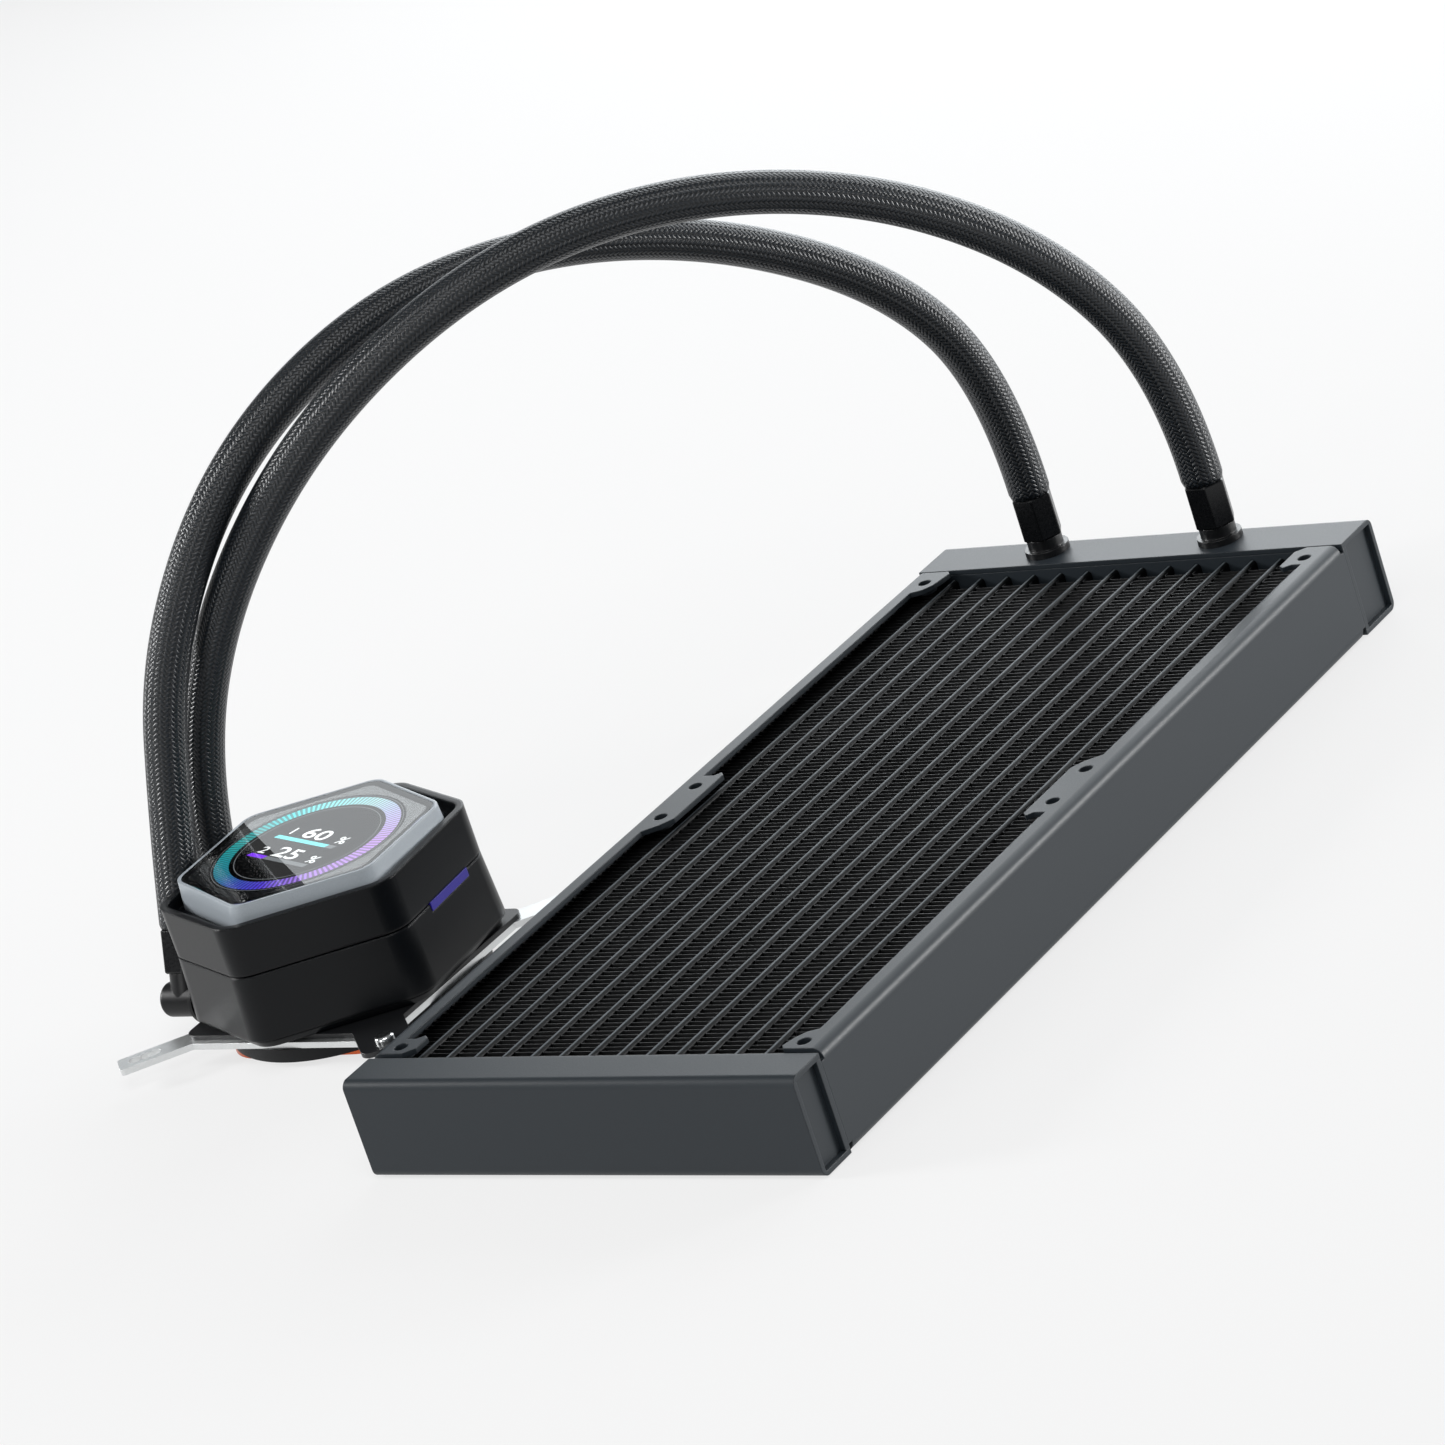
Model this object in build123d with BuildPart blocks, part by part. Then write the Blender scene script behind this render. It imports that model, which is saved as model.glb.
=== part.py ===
"""Closed-loop liquid cooler for a processor: finned radiator, two hoses and a pump head with a display.

The frame's origin is the centre of the cold plate's contact face, with +Z up. The radiator lies
beside the pump head on the same plane, its length along +Y.
"""

import math
import os

from build123d import *

os.makedirs("parts", exist_ok=True)

# Fits and small clearances
slip_fit = 0.05
shell_gap = 0.3

# Radiator, placed by the centre of its two fan hole patterns
radiator_x = 119.3
radiator_y = 47.5
rail_height = 23.8
sheet_wall = 1.2
fan_hole_pitch = 105.0
fan_hole_radius = 1.6
fan_frame_margin = 7.5
rail_hole_margin = 6.0
fan_collar_radius = 2.5
fan_collar_depth = 1.1

# Tanks at the two ends of the core
tank_height = 23.0
return_tank_depth = 10.7
port_tank_depth = 14.6
tank_bend = 2.0
near_core_inset = 3.3
far_core_inset = 0.4
cap_recess = 1.3
header_thickness = 1.5
baffle_offset = -2.0

# Core
tube_count = 14
outer_strip = 7.26
tube_thickness = 1.8
tube_height = 18.0
tube_wall = 0.35
tube_reach = 2.5
fin_height = 17.0
fin_sheet = 0.3
fin_runs = 16
fin_end_gap = 1.9

# Side rails
flange_width = 5.0
rail_bend = 2.4
rail_end_gap = 1.3
tab_reach = 10.4

# Necks that carry the hoses at the port tank
neck_setback = 6.7
left_neck_x = 93.3
right_neck_x = 141.3
foot_radius = 5.4
foot_height = 1.6
neck_radius = 4.3
neck_height = 2.6
spigot_radius = 3.4
spigot_reach = 0.6
tail_radius = 3.2
tail_length = 10.8
neck_bore = 2.2

# Ferrules and hoses
ferrule_corner_radius = 5.2
ferrule_edge = 0.6
ferrule_chamfer = 0.4
hose_radius = 5.0
hose_bore = 3.0

# Elbows, each turning in its port on the pump's left face
port_z = 10.2
front_port_y = -16.0
rear_port_y = 6.5
front_stem_x = -36.0
rear_stem_x = -38.3
front_lean = 20.0
rear_lean = 9.0
front_collar_x = -30.8
rear_collar_x = -33.0
collar_radius = 5.6
collar_width = 1.0
elbow_radius = 4.1
elbow_end = 6.0
elbow_spigot_radius = 3.9
elbow_spigot_end = -22.0
stem_height = 6.3
stem_radius = 4.0
stem_tail_length = 10.2
elbow_bore = 2.4
seal_section = 0.4
seal_place = -24.0

# Pump head, from the bottom up
head_yaw = 3.0
plate_size = 51.0
plate_corner = 12.0
plate_thickness = 1.6
micro_fin_field = 24.0
micro_fin_height = 2.5
micro_fin_thickness = 0.5
micro_fin_pitch = 1.5
micro_fin_count = 16
plate_screw_pitch = 36.8
plate_screw_radius = 1.2
plate_screw_head = 2.3
plate_screw_sink = 1.1
plate_screw_length = 4.5
base_radius = 31.1
base_thickness = 3.3
base_opening = 19.5
gasket_radius = 22.1
gasket_width = 1.2
gasket_height = 0.9
jet_radius = 19.3
jet_thickness = 0.8
jet_slot_length = 20.0
jet_slot_width = 2.4
jet_supply_radius = 2.0
supply_x = -15.5

# Mounting parts round the chamber
collar_opening = 27.2
bracket_thickness = 1.5
bracket_width = 58.0
bracket_depth = 61.0
bracket_corner = 3.0
bracket_arm_width = 6.6
arm_end_wall = 3.967
arm_tip_corner = 1.0
bolt_squares = (68.5, 71.25, 75.0)
bolt_hole_radius = 1.6
clamp_size = 58.0
clamp_corner = 3.0
clamp_thickness = 1.2
ear_width = 12.0
ear_reach = 50.0
clamp_screw_place = 45.5
clamp_screw_radius = 1.45
clamp_screw_head = 2.3
clamp_screw_head_height = 1.4
skirt_height = 1.7
skirt_taper = 24.0
seam_gap = 0.4

# Shells: corners of the outline seen from above, anticlockwise
shell_corners = [(-28.3, -23.9), (0.5, -36.4), (32.0, -14.5), (28.3, 23.9), (-0.5, 36.4), (-32.0, 14.5)]
shell_corner_radius = 7.0
shell_wall = 1.8
lower_wall = 3.0
lower_shell_height = 15.5
shell_taper = 3.4
ledge_depth = 1.3
upper_shell_height = 11.9
rim_height = 3.3
deck_thickness = 1.6
tongue_wall = 1.0
boss_radius = 2.2
boss_place = 20.0
boss_hole = 1.0
flange_opening = 23.5
flange_thickness = 1.5
window_length = 17.0
window_height = 2.05
window_depth = 1.6
window_proud = 0.25
window_x = 30.0
window_y = 6.3
window_angle = 95.5

# Display on the deck
bezel_radius = 31.5
bezel_corner = 5.0
bezel_height = 6.7
bezel_taper = 5.0
bezel_opening = 28.6
glass_radius = 30.5
glass_thickness = 1.0
panel_radius = 23.4
panel_thickness = 1.6
carrier_bore = 21.0

# Pump
chamber_radius = 26.9
chamber_height = 10.6
chamber_floor = 2.3
cavity_radius = 12.2
inlet_radius = 1.6
inlet_place = 5.0
port_boss_radius = 5.3
water_bore = 2.6
outlet_x = -8.0
cup_flange = 1.2
cup_radius = 9.7
cup_wall = 0.8
cup_height = 8.7
shaft_radius = 1.0
shaft_sink = 1.8
shaft_length = 17.8
bearing_boss_radius = 2.4
bushing_radius = 1.98
hub_radius = 2.95
rotor_gap = 0.3
impeller_radius = 11.0
impeller_vanes = 6
vane_height = 2.5
disc_thickness = 1.0
rotor_length = 14.2
magnet_radius = 8.4
stator_radius = 17.5
stator_yoke = 3.0
stator_height = 5.0
stator_teeth = 6
tooth_width = 3.0
coil_width = 5.4
coil_height = 4.9
coil_length = 3.6
board_radius = 24.0
board_thickness = 1.4
board_screw_head = 1.7

# The radiator follows its fans: their holes set its width, their frames its length
fan_size = fan_hole_pitch + 2 * fan_frame_margin
radiator_width = fan_hole_pitch + 2 * rail_hole_margin
near_core_edge = fan_size - near_core_inset
far_core_edge = fan_size - far_core_inset
tube_row = radiator_width - 2 * (sheet_wall + outer_strip) - tube_thickness
tube_pitch = tube_row / (tube_count - 1)

# The bracket's arms end a little past their outermost bolt holes
bracket_arm_reach = max(bolt_squares) / math.sqrt(2) + arm_end_wall

# Levels and places that follow from the sizes above
half_width = radiator_width / 2
mid_height = rail_height / 2
tank_top = mid_height + tank_height / 2
near_mouth = radiator_y - near_core_edge
far_mouth = radiator_y + far_core_edge
neck_y = far_mouth + port_tank_depth - neck_setback
neck_top = tank_top + foot_height + neck_height
base_top = plate_thickness + base_thickness
bracket_top = base_top + bracket_thickness
clamp_top = bracket_top + clamp_thickness
skirt_top = clamp_top + skirt_height
lower_shell_bottom = skirt_top + seam_gap
lower_shell_top = lower_shell_bottom + lower_shell_height
ledge_z = lower_shell_top - ledge_depth
upper_shell_bottom = lower_shell_top + seam_gap
upper_shell_top = upper_shell_bottom + upper_shell_height
deck_top = upper_shell_top - rim_height
deck_bottom = deck_top - deck_thickness
bezel_top = deck_top + bezel_height
glass_bottom = bezel_top - glass_thickness
panel_bottom = glass_bottom - panel_thickness
chamber_top = base_top + chamber_height
cup_top = chamber_top + cup_flange + cup_height - cup_flange
stator_bottom = chamber_top + cup_flange
rotor_bottom = base_top + chamber_floor + 2 * rotor_gap

# Sketch planes of the radiator: from above, and from the side with Y to the right
top_view = Plane((radiator_x, radiator_y, 0))
side_view = Plane.YZ.offset(radiator_x)
head_view = Plane.XY.rotated((0, 0, head_yaw))


def end_view(y):
    """Plane across the radiator at y, with X to the right and its centre at mid height."""
    return Plane((radiator_x, y, mid_height), x_dir=(1, 0, 0), z_dir=(0, -1, 0))


def export(piece, label):
    """Name a finished piece and write it."""
    piece.label = label
    export_step(piece, f"parts/{label}.step")


# Tanks
def make_tank(mouth, depth, outward):
    """Sheet trough lying along X, open towards the core."""
    with BuildPart() as tank:
        with BuildSketch(side_view) as trough:
            with Locations((mouth + outward * depth / 2, mid_height)):
                Rectangle(depth, tank_height)
            with Locations((mouth + outward * (depth - sheet_wall) / 2, mid_height)):
                Rectangle(depth - sheet_wall, tank_height - 2 * sheet_wall, mode=Mode.SUBTRACT)
            corners = trough.vertices().group_by(Axis.X, reverse=outward > 0)
            fillet(corners[0], tank_bend)
            fillet(corners[1], tank_bend - sheet_wall)
        extrude(amount=half_width, both=True)
    return tank.part


def make_tank_plates(mouth, depth, outward, places):
    """Plates that fill the trough's section between its header and its outer wall."""
    length = depth - sheet_wall - header_thickness
    with BuildPart() as plates:
        for place in places:
            with BuildSketch(side_view.offset(place)) as section:
                with Locations((mouth + outward * (header_thickness + length / 2), mid_height)):
                    Rectangle(length, tank_height - 2 * sheet_wall)
                fillet(section.vertices().group_by(Axis.X, reverse=outward > 0)[0], tank_bend - sheet_wall)
            extrude(amount=sheet_wall)
    return plates.part


def make_header(mouth, outward):
    """Slotted plate that the flat tubes pass through."""
    with BuildPart() as header:
        with BuildSketch(end_view(mouth)):
            Rectangle(radiator_width, tank_height - 2 * sheet_wall)
            with GridLocations(tube_pitch, tube_pitch, tube_count, 1):
                SlotOverall(
                    tube_height + 2 * slip_fit,
                    tube_thickness + 2 * slip_fit,
                    rotation=90,
                    mode=Mode.SUBTRACT,
                )
        extrude(amount=-outward * header_thickness)
    return header.part


cap_places = (cap_recess - half_width, half_width - cap_recess - sheet_wall)
export(make_tank(near_mouth, return_tank_depth, -1), "return_tank")
export(make_tank_plates(near_mouth, return_tank_depth, -1, cap_places), "return_tank_end_caps")
export(make_tank_plates(far_mouth, port_tank_depth, 1, cap_places), "port_tank_end_caps")
export(make_tank_plates(far_mouth, port_tank_depth, 1, (baffle_offset,)), "tank_baffle")
export(make_header(near_mouth, -1), "return_header")
export(make_header(far_mouth, 1), "port_header")

# The port tank has two holes in its top for the necks
with BuildPart() as port_tank:
    add(make_tank(far_mouth, port_tank_depth, 1))
    with BuildSketch(Plane.XY.offset(tank_top)):
        with Locations((left_neck_x, neck_y), (right_neck_x, neck_y)):
            Circle(spigot_radius + slip_fit)
    extrude(amount=-sheet_wall, mode=Mode.SUBTRACT)
port_tank.part.label = "port_tank"
export_step(port_tank.part, "parts/port_tank.step")

# Flat tubes, hollow, from tank to tank
with BuildPart() as coolant_tubes:
    with BuildSketch(end_view(near_mouth - tube_reach)):
        with GridLocations(tube_pitch, tube_pitch, tube_count, 1):
            SlotOverall(tube_height, tube_thickness, rotation=90)
            SlotOverall(
                tube_height - 2 * tube_wall,
                tube_thickness - 2 * tube_wall,
                rotation=90,
                mode=Mode.SUBTRACT,
            )
    extrude(amount=-(near_core_edge + far_core_edge + 2 * tube_reach))
coolant_tubes.part.label = "coolant_tubes"
export_step(coolant_tubes.part, "parts/coolant_tubes.step")


# Fins
def folded_outline(middle, width, start, end):
    """Outline of a sheet folded to and fro across a strip, as its left edge and its right edge."""
    step = (end - start - fin_sheet) / (fin_runs - 1)
    left = [(middle - width / 2, start + fin_sheet)]
    right = [(middle - width / 2, start)]
    for fold in range(fin_runs - 1):
        side = 1 if fold % 2 == 0 else -1
        low = start + fold * step
        outside = middle + side * width / 2
        inside = outside - side * fin_sheet
        outer = [(outside, low), (outside, low + step + fin_sheet)]
        inner = [(inside, low + fin_sheet), (inside, low + step)]
        left += inner if side > 0 else outer
        right += outer if side > 0 else inner
    last_side = 1 if fin_runs % 2 else -1
    last_x = middle + last_side * width / 2
    ends = [(last_x, end), (last_x, end - fin_sheet)]
    left.append(ends[0] if last_side > 0 else ends[1])
    right.append(ends[1] if last_side > 0 else ends[0])
    return left + right[::-1]


# One folded strip in each space beside a tube
inner_strip = tube_pitch - tube_thickness
outer_tube_face = half_width - sheet_wall - outer_strip
strips = [((place - tube_count / 2 + 1) * tube_pitch, inner_strip) for place in range(tube_count - 1)]
strips += [(side * (outer_tube_face + outer_strip / 2), outer_strip) for side in (-1, 1)]
with BuildPart() as fin_strips:
    with BuildSketch(top_view.offset(mid_height - fin_height / 2)):
        for middle, width in strips:
            with BuildLine():
                Polyline(
                    *folded_outline(middle, width, fin_end_gap - near_core_edge, far_core_edge - fin_end_gap),
                    close=True,
                )
            make_face()
    extrude(amount=fin_height)
fin_strips.part.label = "fin_strips"
export_step(fin_strips.part, "parts/fin_strips.step")


# Side rails
def end_hook(hole, end):
    """Square screw tab with a small hook, as (distance from the rail's face, place along it)."""
    way = 1 if end > hole else -1
    return [
        (flange_width - sheet_wall, end),
        (tab_reach - 2.2, end),
        (tab_reach, end - way * 2.2),
        (tab_reach, hole - way * 4.0),
        (tab_reach - 1.2, hole - way * 4.9),
        (tab_reach - 2.8, hole - way * 3.5),
        (flange_width - sheet_wall, hole - way * 3.5),
    ]


def end_leaf(hole, end):
    """Screw tab that narrows away from the rail's end."""
    way = 1 if end > hole else -1
    return [
        (flange_width - sheet_wall, end),
        (tab_reach - 1.0, end),
        (tab_reach, end - way * 1.2),
        (tab_reach - 1.0, hole - way * 1.5),
        (tab_reach - 2.8, hole - way * 4.1),
        (flange_width, hole - way * 5.5),
        (flange_width - sheet_wall, hole - way * 5.5),
    ]


def middle_tab(hole, way):
    """Tab that carries the two middle screws, with its hook on the side that way gives."""
    return [
        (flange_width - sheet_wall, way * (hole + 5.1)),
        (tab_reach - 2.4, way * (hole + 5.1)),
        (tab_reach - 1.2, way * (hole + 6.5)),
        (tab_reach, way * (hole + 5.3)),
        (tab_reach, -way * (hole + 1.0)),
        (tab_reach - 1.9, -way * (hole + 4.0)),
        (flange_width, -way * (hole + 7.0)),
        (flange_width - sheet_wall, -way * (hole + 7.0)),
    ]


def make_rail(side):
    """Folded C section with screw tabs on both flanges, their screw holes drawn into collars.

    side is 1 on the right and -1 on the left.
    """
    near_end = rail_end_gap - near_core_edge
    far_end = far_core_edge - rail_end_gap
    end_hole = fan_size / 2 + fan_hole_pitch / 2
    middle_hole = fan_size / 2 - fan_hole_pitch / 2
    hook_end = far_end if side > 0 else near_end
    leaf_end = near_end if side > 0 else far_end
    outlines = [
        end_hook(side * end_hole, hook_end),
        end_leaf(-side * end_hole, leaf_end),
        middle_tab(middle_hole, -side),
    ]
    with BuildPart() as rail:
        with BuildSketch(end_view(radiator_y + near_end)) as section:
            with Locations((side * (half_width - flange_width / 2), 0)):
                Rectangle(flange_width, rail_height)
            with Locations((side * (half_width - (flange_width + sheet_wall) / 2), 0)):
                Rectangle(flange_width - sheet_wall, rail_height - 2 * sheet_wall, mode=Mode.SUBTRACT)
            corners = section.vertices().group_by(Axis.X, reverse=side > 0)
            fillet(corners[0], rail_bend)
            fillet(corners[1], rail_bend - sheet_wall)
        extrude(amount=near_end - far_end)
        with BuildSketch(end_view(near_mouth)):
            with Locations((side * (half_width - sheet_wall / 2), 0)):
                Rectangle(sheet_wall, rail_height - 2 * rail_bend)
        extrude(amount=-(near_core_edge + far_core_edge))
        for level in (0, rail_height - sheet_wall):
            with BuildSketch(top_view.offset(level)):
                for outline in outlines:
                    with BuildLine():
                        Polyline(*[(side * (half_width - u), v) for u, v in outline], close=True)
                    make_face()
            extrude(amount=sheet_wall)
        hole_x = side * fan_hole_pitch / 2
        holes = [(hole_x, y) for y in (-end_hole, -middle_hole, middle_hole, end_hole)]
        drawn_depth = sheet_wall + fan_collar_depth
        for level in (0, rail_height - drawn_depth):
            with BuildSketch(top_view.offset(level)):
                with Locations(*holes):
                    Circle(fan_collar_radius)
            extrude(amount=drawn_depth)
            with BuildSketch(top_view.offset(level)):
                with Locations(*holes):
                    Circle(fan_hole_radius)
            extrude(amount=drawn_depth, mode=Mode.SUBTRACT)
    return rail.part


export(make_rail(-1), "left_rail")
export(make_rail(1), "right_rail")


# Hose necks on the port tank
def make_neck(x):
    """Turned neck: spigot in the tank's wall, foot, shoulder and the tail that the hose grips."""
    with BuildPart() as neck:
        with BuildSketch(Plane((x, neck_y, 0), x_dir=(1, 0, 0), z_dir=(0, -1, 0))):
            with BuildLine():
                Polyline(
                    (neck_bore, tank_top - sheet_wall - spigot_reach),
                    (spigot_radius, tank_top - sheet_wall - spigot_reach),
                    (spigot_radius, tank_top),
                    (foot_radius, tank_top),
                    (foot_radius, tank_top + foot_height),
                    (neck_radius, tank_top + foot_height),
                    (neck_radius, neck_top),
                    (tail_radius, neck_top),
                    (tail_radius, neck_top + tail_length),
                    (neck_bore, neck_top + tail_length),
                    close=True,
                )
            make_face()
        revolve(axis=Axis((x, neck_y, 0), (0, 0, 1)))
    return neck.part


def make_ferrule(seat, length, tail):
    """Six-sided sleeve crimped over a tail, standing on the plane called seat."""
    with BuildPart() as ferrule:
        with BuildSketch(seat) as hexagon:
            RegularPolygon(ferrule_corner_radius, 6)
            fillet(hexagon.vertices(), ferrule_edge)
        extrude(amount=length)
        ends = ferrule.faces().filter_by(Axis(seat.origin, seat.z_dir))
        chamfer(ends.edges(), ferrule_chamfer)
        with Locations(seat.offset(length)):
            Hole(tail + 2 * slip_fit, depth=length)
    return ferrule.part


for x, side_name in ((left_neck_x, "left"), (right_neck_x, "right")):
    export(make_neck(x), f"neck_{side_name}")
    export(make_ferrule(Plane((x, neck_y, neck_top)), tail_length, tail_radius), f"ferrule_{side_name}")


# Elbows
def stem_plane(port_y, stem_x, lean, along):
    """Plane square to an elbow's stem, at a distance along it from the port's axis."""
    tilt = math.radians(lean)
    way = Vector(0, math.sin(tilt), math.cos(tilt))
    return Plane(Vector(stem_x, port_y, port_z) + way * along, x_dir=(1, 0, 0), z_dir=way)


def make_elbow(port_y, stem_x, lean, collar_x):
    """Right-angled elbow: grooved spigot in the port, collar, rounded barrel and leaning stem."""
    groove = seal_section + slip_fit
    barrel_end = stem_x - elbow_end
    rim = elbow_radius - 1.2
    with BuildPart() as elbow:
        with BuildSketch(Plane((0, port_y, port_z))):
            with BuildLine():
                Polyline(
                    (elbow_spigot_end, 0),
                    (elbow_spigot_end, elbow_spigot_radius),
                    (seal_place + groove, elbow_spigot_radius),
                    (seal_place + groove, elbow_spigot_radius - 2 * seal_section),
                    (seal_place - groove, elbow_spigot_radius - 2 * seal_section),
                    (seal_place - groove, elbow_spigot_radius),
                    (collar_x, elbow_spigot_radius),
                    (collar_x, collar_radius),
                    (collar_x - collar_width, collar_radius),
                    (collar_x - collar_width, elbow_radius),
                    (barrel_end + elbow_radius - rim, elbow_radius),
                )
                JernArc((barrel_end + elbow_radius - rim, elbow_radius), (-1, 0), elbow_radius - rim, 90)
                Polyline((barrel_end, rim), (barrel_end, 0), (elbow_spigot_end, 0))
            make_face()
        revolve(axis=Axis((0, port_y, port_z), (1, 0, 0)))
        with BuildSketch(stem_plane(port_y, stem_x, lean, 0)):
            Circle(stem_radius)
        extrude(amount=stem_height)
        with BuildSketch(stem_plane(port_y, stem_x, lean, stem_height)):
            Circle(tail_radius)
        extrude(amount=stem_tail_length)
        with BuildSketch(stem_plane(port_y, stem_x, lean, 0)):
            Circle(neck_bore)
        extrude(amount=stem_height + stem_tail_length, mode=Mode.SUBTRACT)
        with BuildSketch(Plane.YZ.offset(stem_x)):
            with Locations((port_y, port_z)):
                Circle(elbow_bore)
        extrude(amount=elbow_spigot_end - stem_x, mode=Mode.SUBTRACT)
    return elbow.part


def make_seal(port_y):
    """Ring of round section that lies in an elbow's groove."""
    with BuildPart() as seal:
        with BuildSketch(Plane((0, port_y, port_z))):
            with Locations((seal_place, elbow_spigot_radius - seal_section)):
                Circle(seal_section)
        revolve(axis=Axis((0, port_y, port_z), (1, 0, 0)))
    return seal.part


elbows = (
    ("front", front_port_y, front_stem_x, front_lean, front_collar_x),
    ("rear", rear_port_y, rear_stem_x, rear_lean, rear_collar_x),
)
for place, port_y, stem_x, lean, collar_x in elbows:
    seat = stem_plane(port_y, stem_x, lean, stem_height)
    export(make_elbow(port_y, stem_x, lean, collar_x), f"elbow_{place}")
    export(make_ferrule(seat, stem_tail_length, tail_radius), f"elbow_ferrule_{place}")
    export(make_seal(port_y), f"elbow_seal_{place}")


# Hoses: the route runs from a neck over the arch to an elbow's stem
def stem_point(port_y, stem_x, lean, along):
    """Point on an elbow's stem, as plain numbers."""
    return tuple(stem_plane(port_y, stem_x, lean, along).origin)


def corner_radii(points):
    """Largest even arc that the two runs beside each corner allow."""
    radii = []
    for before, corner, after in zip(points, points[1:], points[2:]):
        first = Vector(*corner) - Vector(*before)
        second = Vector(*after) - Vector(*corner)
        turn = math.radians(first.get_angle(second))
        radii.append(0.45 * min(first.length, second.length) / math.tan(turn / 2))
    return radii


def make_hose(name, points):
    """Rubber tube with an even wall, swept along straight runs and tangent arcs."""
    radii = corner_radii(points)
    print(name, "radii", [round(radius, 1) for radius in radii])
    with BuildPart() as hose:
        with BuildLine() as route:
            FilletPolyline(*points, radius=radii)
        path = route.wire()
        with BuildSketch(Plane(path @ 0, z_dir=path % 0)) as section:
            Circle(hose_radius)
            Circle(hose_bore, mode=Mode.SUBTRACT)
        sweep()
    print(name, "length", round(path.length, 1))
    print(name, "volume / (section x length)", round(hose.part.volume / section.sketch.area / path.length, 5))
    return hose.part


hose_end = neck_top + tail_length
stem_end = stem_height + stem_tail_length
right_hose_route = [
    (right_neck_x, neck_y, hose_end),
    (141.3, neck_y, 67.0),
    (128.5, 159.5, 104.5),
    (104.5, 132.5, 133.5),
    (73.5, 100.5, 148.5),
    (39.5, 70.0, 145.5),
    (5.5, 41.5, 124.5),
    (-21.5, 21.5, 91.0),
    stem_point(rear_port_y, rear_stem_x, rear_lean, 42.0),
    stem_point(rear_port_y, rear_stem_x, rear_lean, stem_end),
]
left_hose_route = [
    (left_neck_x, neck_y, hose_end),
    (93.3, neck_y, 68.0),
    (82.0, 162.3, 99.5),
    (59.0, 134.0, 126.0),
    (33.0, 100.5, 140.5),
    (7.5, 66.0, 139.5),
    (-15.0, 32.5, 120.5),
    (-29.5, 7.5, 86.5),
    stem_point(front_port_y, front_stem_x, front_lean, 39.0),
    stem_point(front_port_y, front_stem_x, front_lean, stem_end),
]
export(make_hose("hose_right", right_hose_route), "hose_right")
export(make_hose("hose_left", left_hose_route), "hose_left")


# Outlines of the pump head
def shell_outline(height, inset=0.0):
    """The shells' rounded outline, drawn in by an inset."""
    with BuildSketch(Plane.XY.offset(height)) as outline:
        with BuildLine():
            Polyline(*shell_corners, close=True)
        make_face()
        fillet(outline.vertices(), shell_corner_radius)
        if inset:
            offset(amount=-inset, mode=Mode.REPLACE)
    return outline.sketch


def hexagon_outline(height, radius, corner):
    """Regular hexagon of the display, turned with the head."""
    with BuildSketch(head_view.offset(height)) as outline:
        RegularPolygon(radius, 6, rotation=30)
        fillet(outline.vertices(), corner)
    return outline.sketch


def port_circles(radius):
    """One circle round each port's axis, on the far side of the elbows' collars."""
    with BuildSketch(Plane.YZ.offset(rear_collar_x)) as circles:
        with Locations((front_port_y, port_z), (rear_port_y, port_z)):
            Circle(radius)
    return circles.sketch


port_hole = port_boss_radius + slip_fit
port_cut_depth = elbow_spigot_end + 2 * shell_gap - rear_collar_x


def port_bay(height):
    """Rectangle that leaves a flat ring open on the left, where the two ports pass."""
    with BuildSketch(Plane.XY.offset(height)) as bay:
        with Locations((rear_collar_x, front_port_y - port_hole)):
            Rectangle(
                port_cut_depth,
                rear_port_y - front_port_y + 2 * port_hole,
                align=(Align.MIN, Align.MIN),
            )
    return bay.sketch


# Cold plate: a copper slab with a field of thin upright fins
with BuildPart() as cold_plate:
    with BuildSketch(head_view):
        RectangleRounded(plate_size, plate_size, plate_corner)
    extrude(amount=plate_thickness)
    with BuildSketch(head_view.offset(plate_thickness)):
        with GridLocations(micro_fin_pitch, micro_fin_pitch, micro_fin_count, 1):
            Rectangle(micro_fin_thickness, micro_fin_field)
    extrude(amount=micro_fin_height)
    with Locations(Plane(origin=(0, 0, 0), x_dir=head_view.x_dir, z_dir=(0, 0, -1))):
        with GridLocations(plate_screw_pitch, plate_screw_pitch, 2, 2):
            CounterSinkHole(
                plate_screw_radius + slip_fit,
                plate_screw_head + slip_fit,
                depth=plate_thickness,
                counter_sink_angle=90,
            )
cold_plate.part.label = "cold_plate"
export_step(cold_plate.part, "parts/cold_plate.step")

# Screws through the cold plate into the base ring
with BuildPart() as plate_screws:
    with Locations(head_view):
        with GridLocations(plate_screw_pitch, plate_screw_pitch, 2, 2):
            Cylinder(
                plate_screw_radius,
                plate_screw_length,
                align=(Align.CENTER, Align.CENTER, Align.MIN),
            )
            Cone(
                plate_screw_head,
                plate_screw_head - plate_screw_sink,
                plate_screw_sink,
                align=(Align.CENTER, Align.CENTER, Align.MIN),
            )
plate_screws.part.label = "plate_screws"
export_step(plate_screws.part, "parts/plate_screws.step")

# Base ring, with a groove for the gasket and blind holes for the screws
with BuildPart() as base_ring:
    with BuildSketch(Plane.XY.offset(plate_thickness)):
        Circle(base_radius)
        Circle(base_opening, mode=Mode.SUBTRACT)
    extrude(amount=base_thickness)
    with BuildSketch(Plane.XY.offset(plate_thickness)):
        Circle(gasket_radius + gasket_width / 2 + slip_fit)
        Circle(gasket_radius - gasket_width / 2 - slip_fit, mode=Mode.SUBTRACT)
    extrude(amount=gasket_height, mode=Mode.SUBTRACT)
    with BuildSketch(head_view.offset(plate_thickness)):
        with GridLocations(plate_screw_pitch, plate_screw_pitch, 2, 2):
            Circle(plate_screw_radius + slip_fit)
    extrude(amount=plate_screw_length - plate_thickness, mode=Mode.SUBTRACT)
base_ring.part.label = "base_ring"
export_step(base_ring.part, "parts/base_ring.step")

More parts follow.
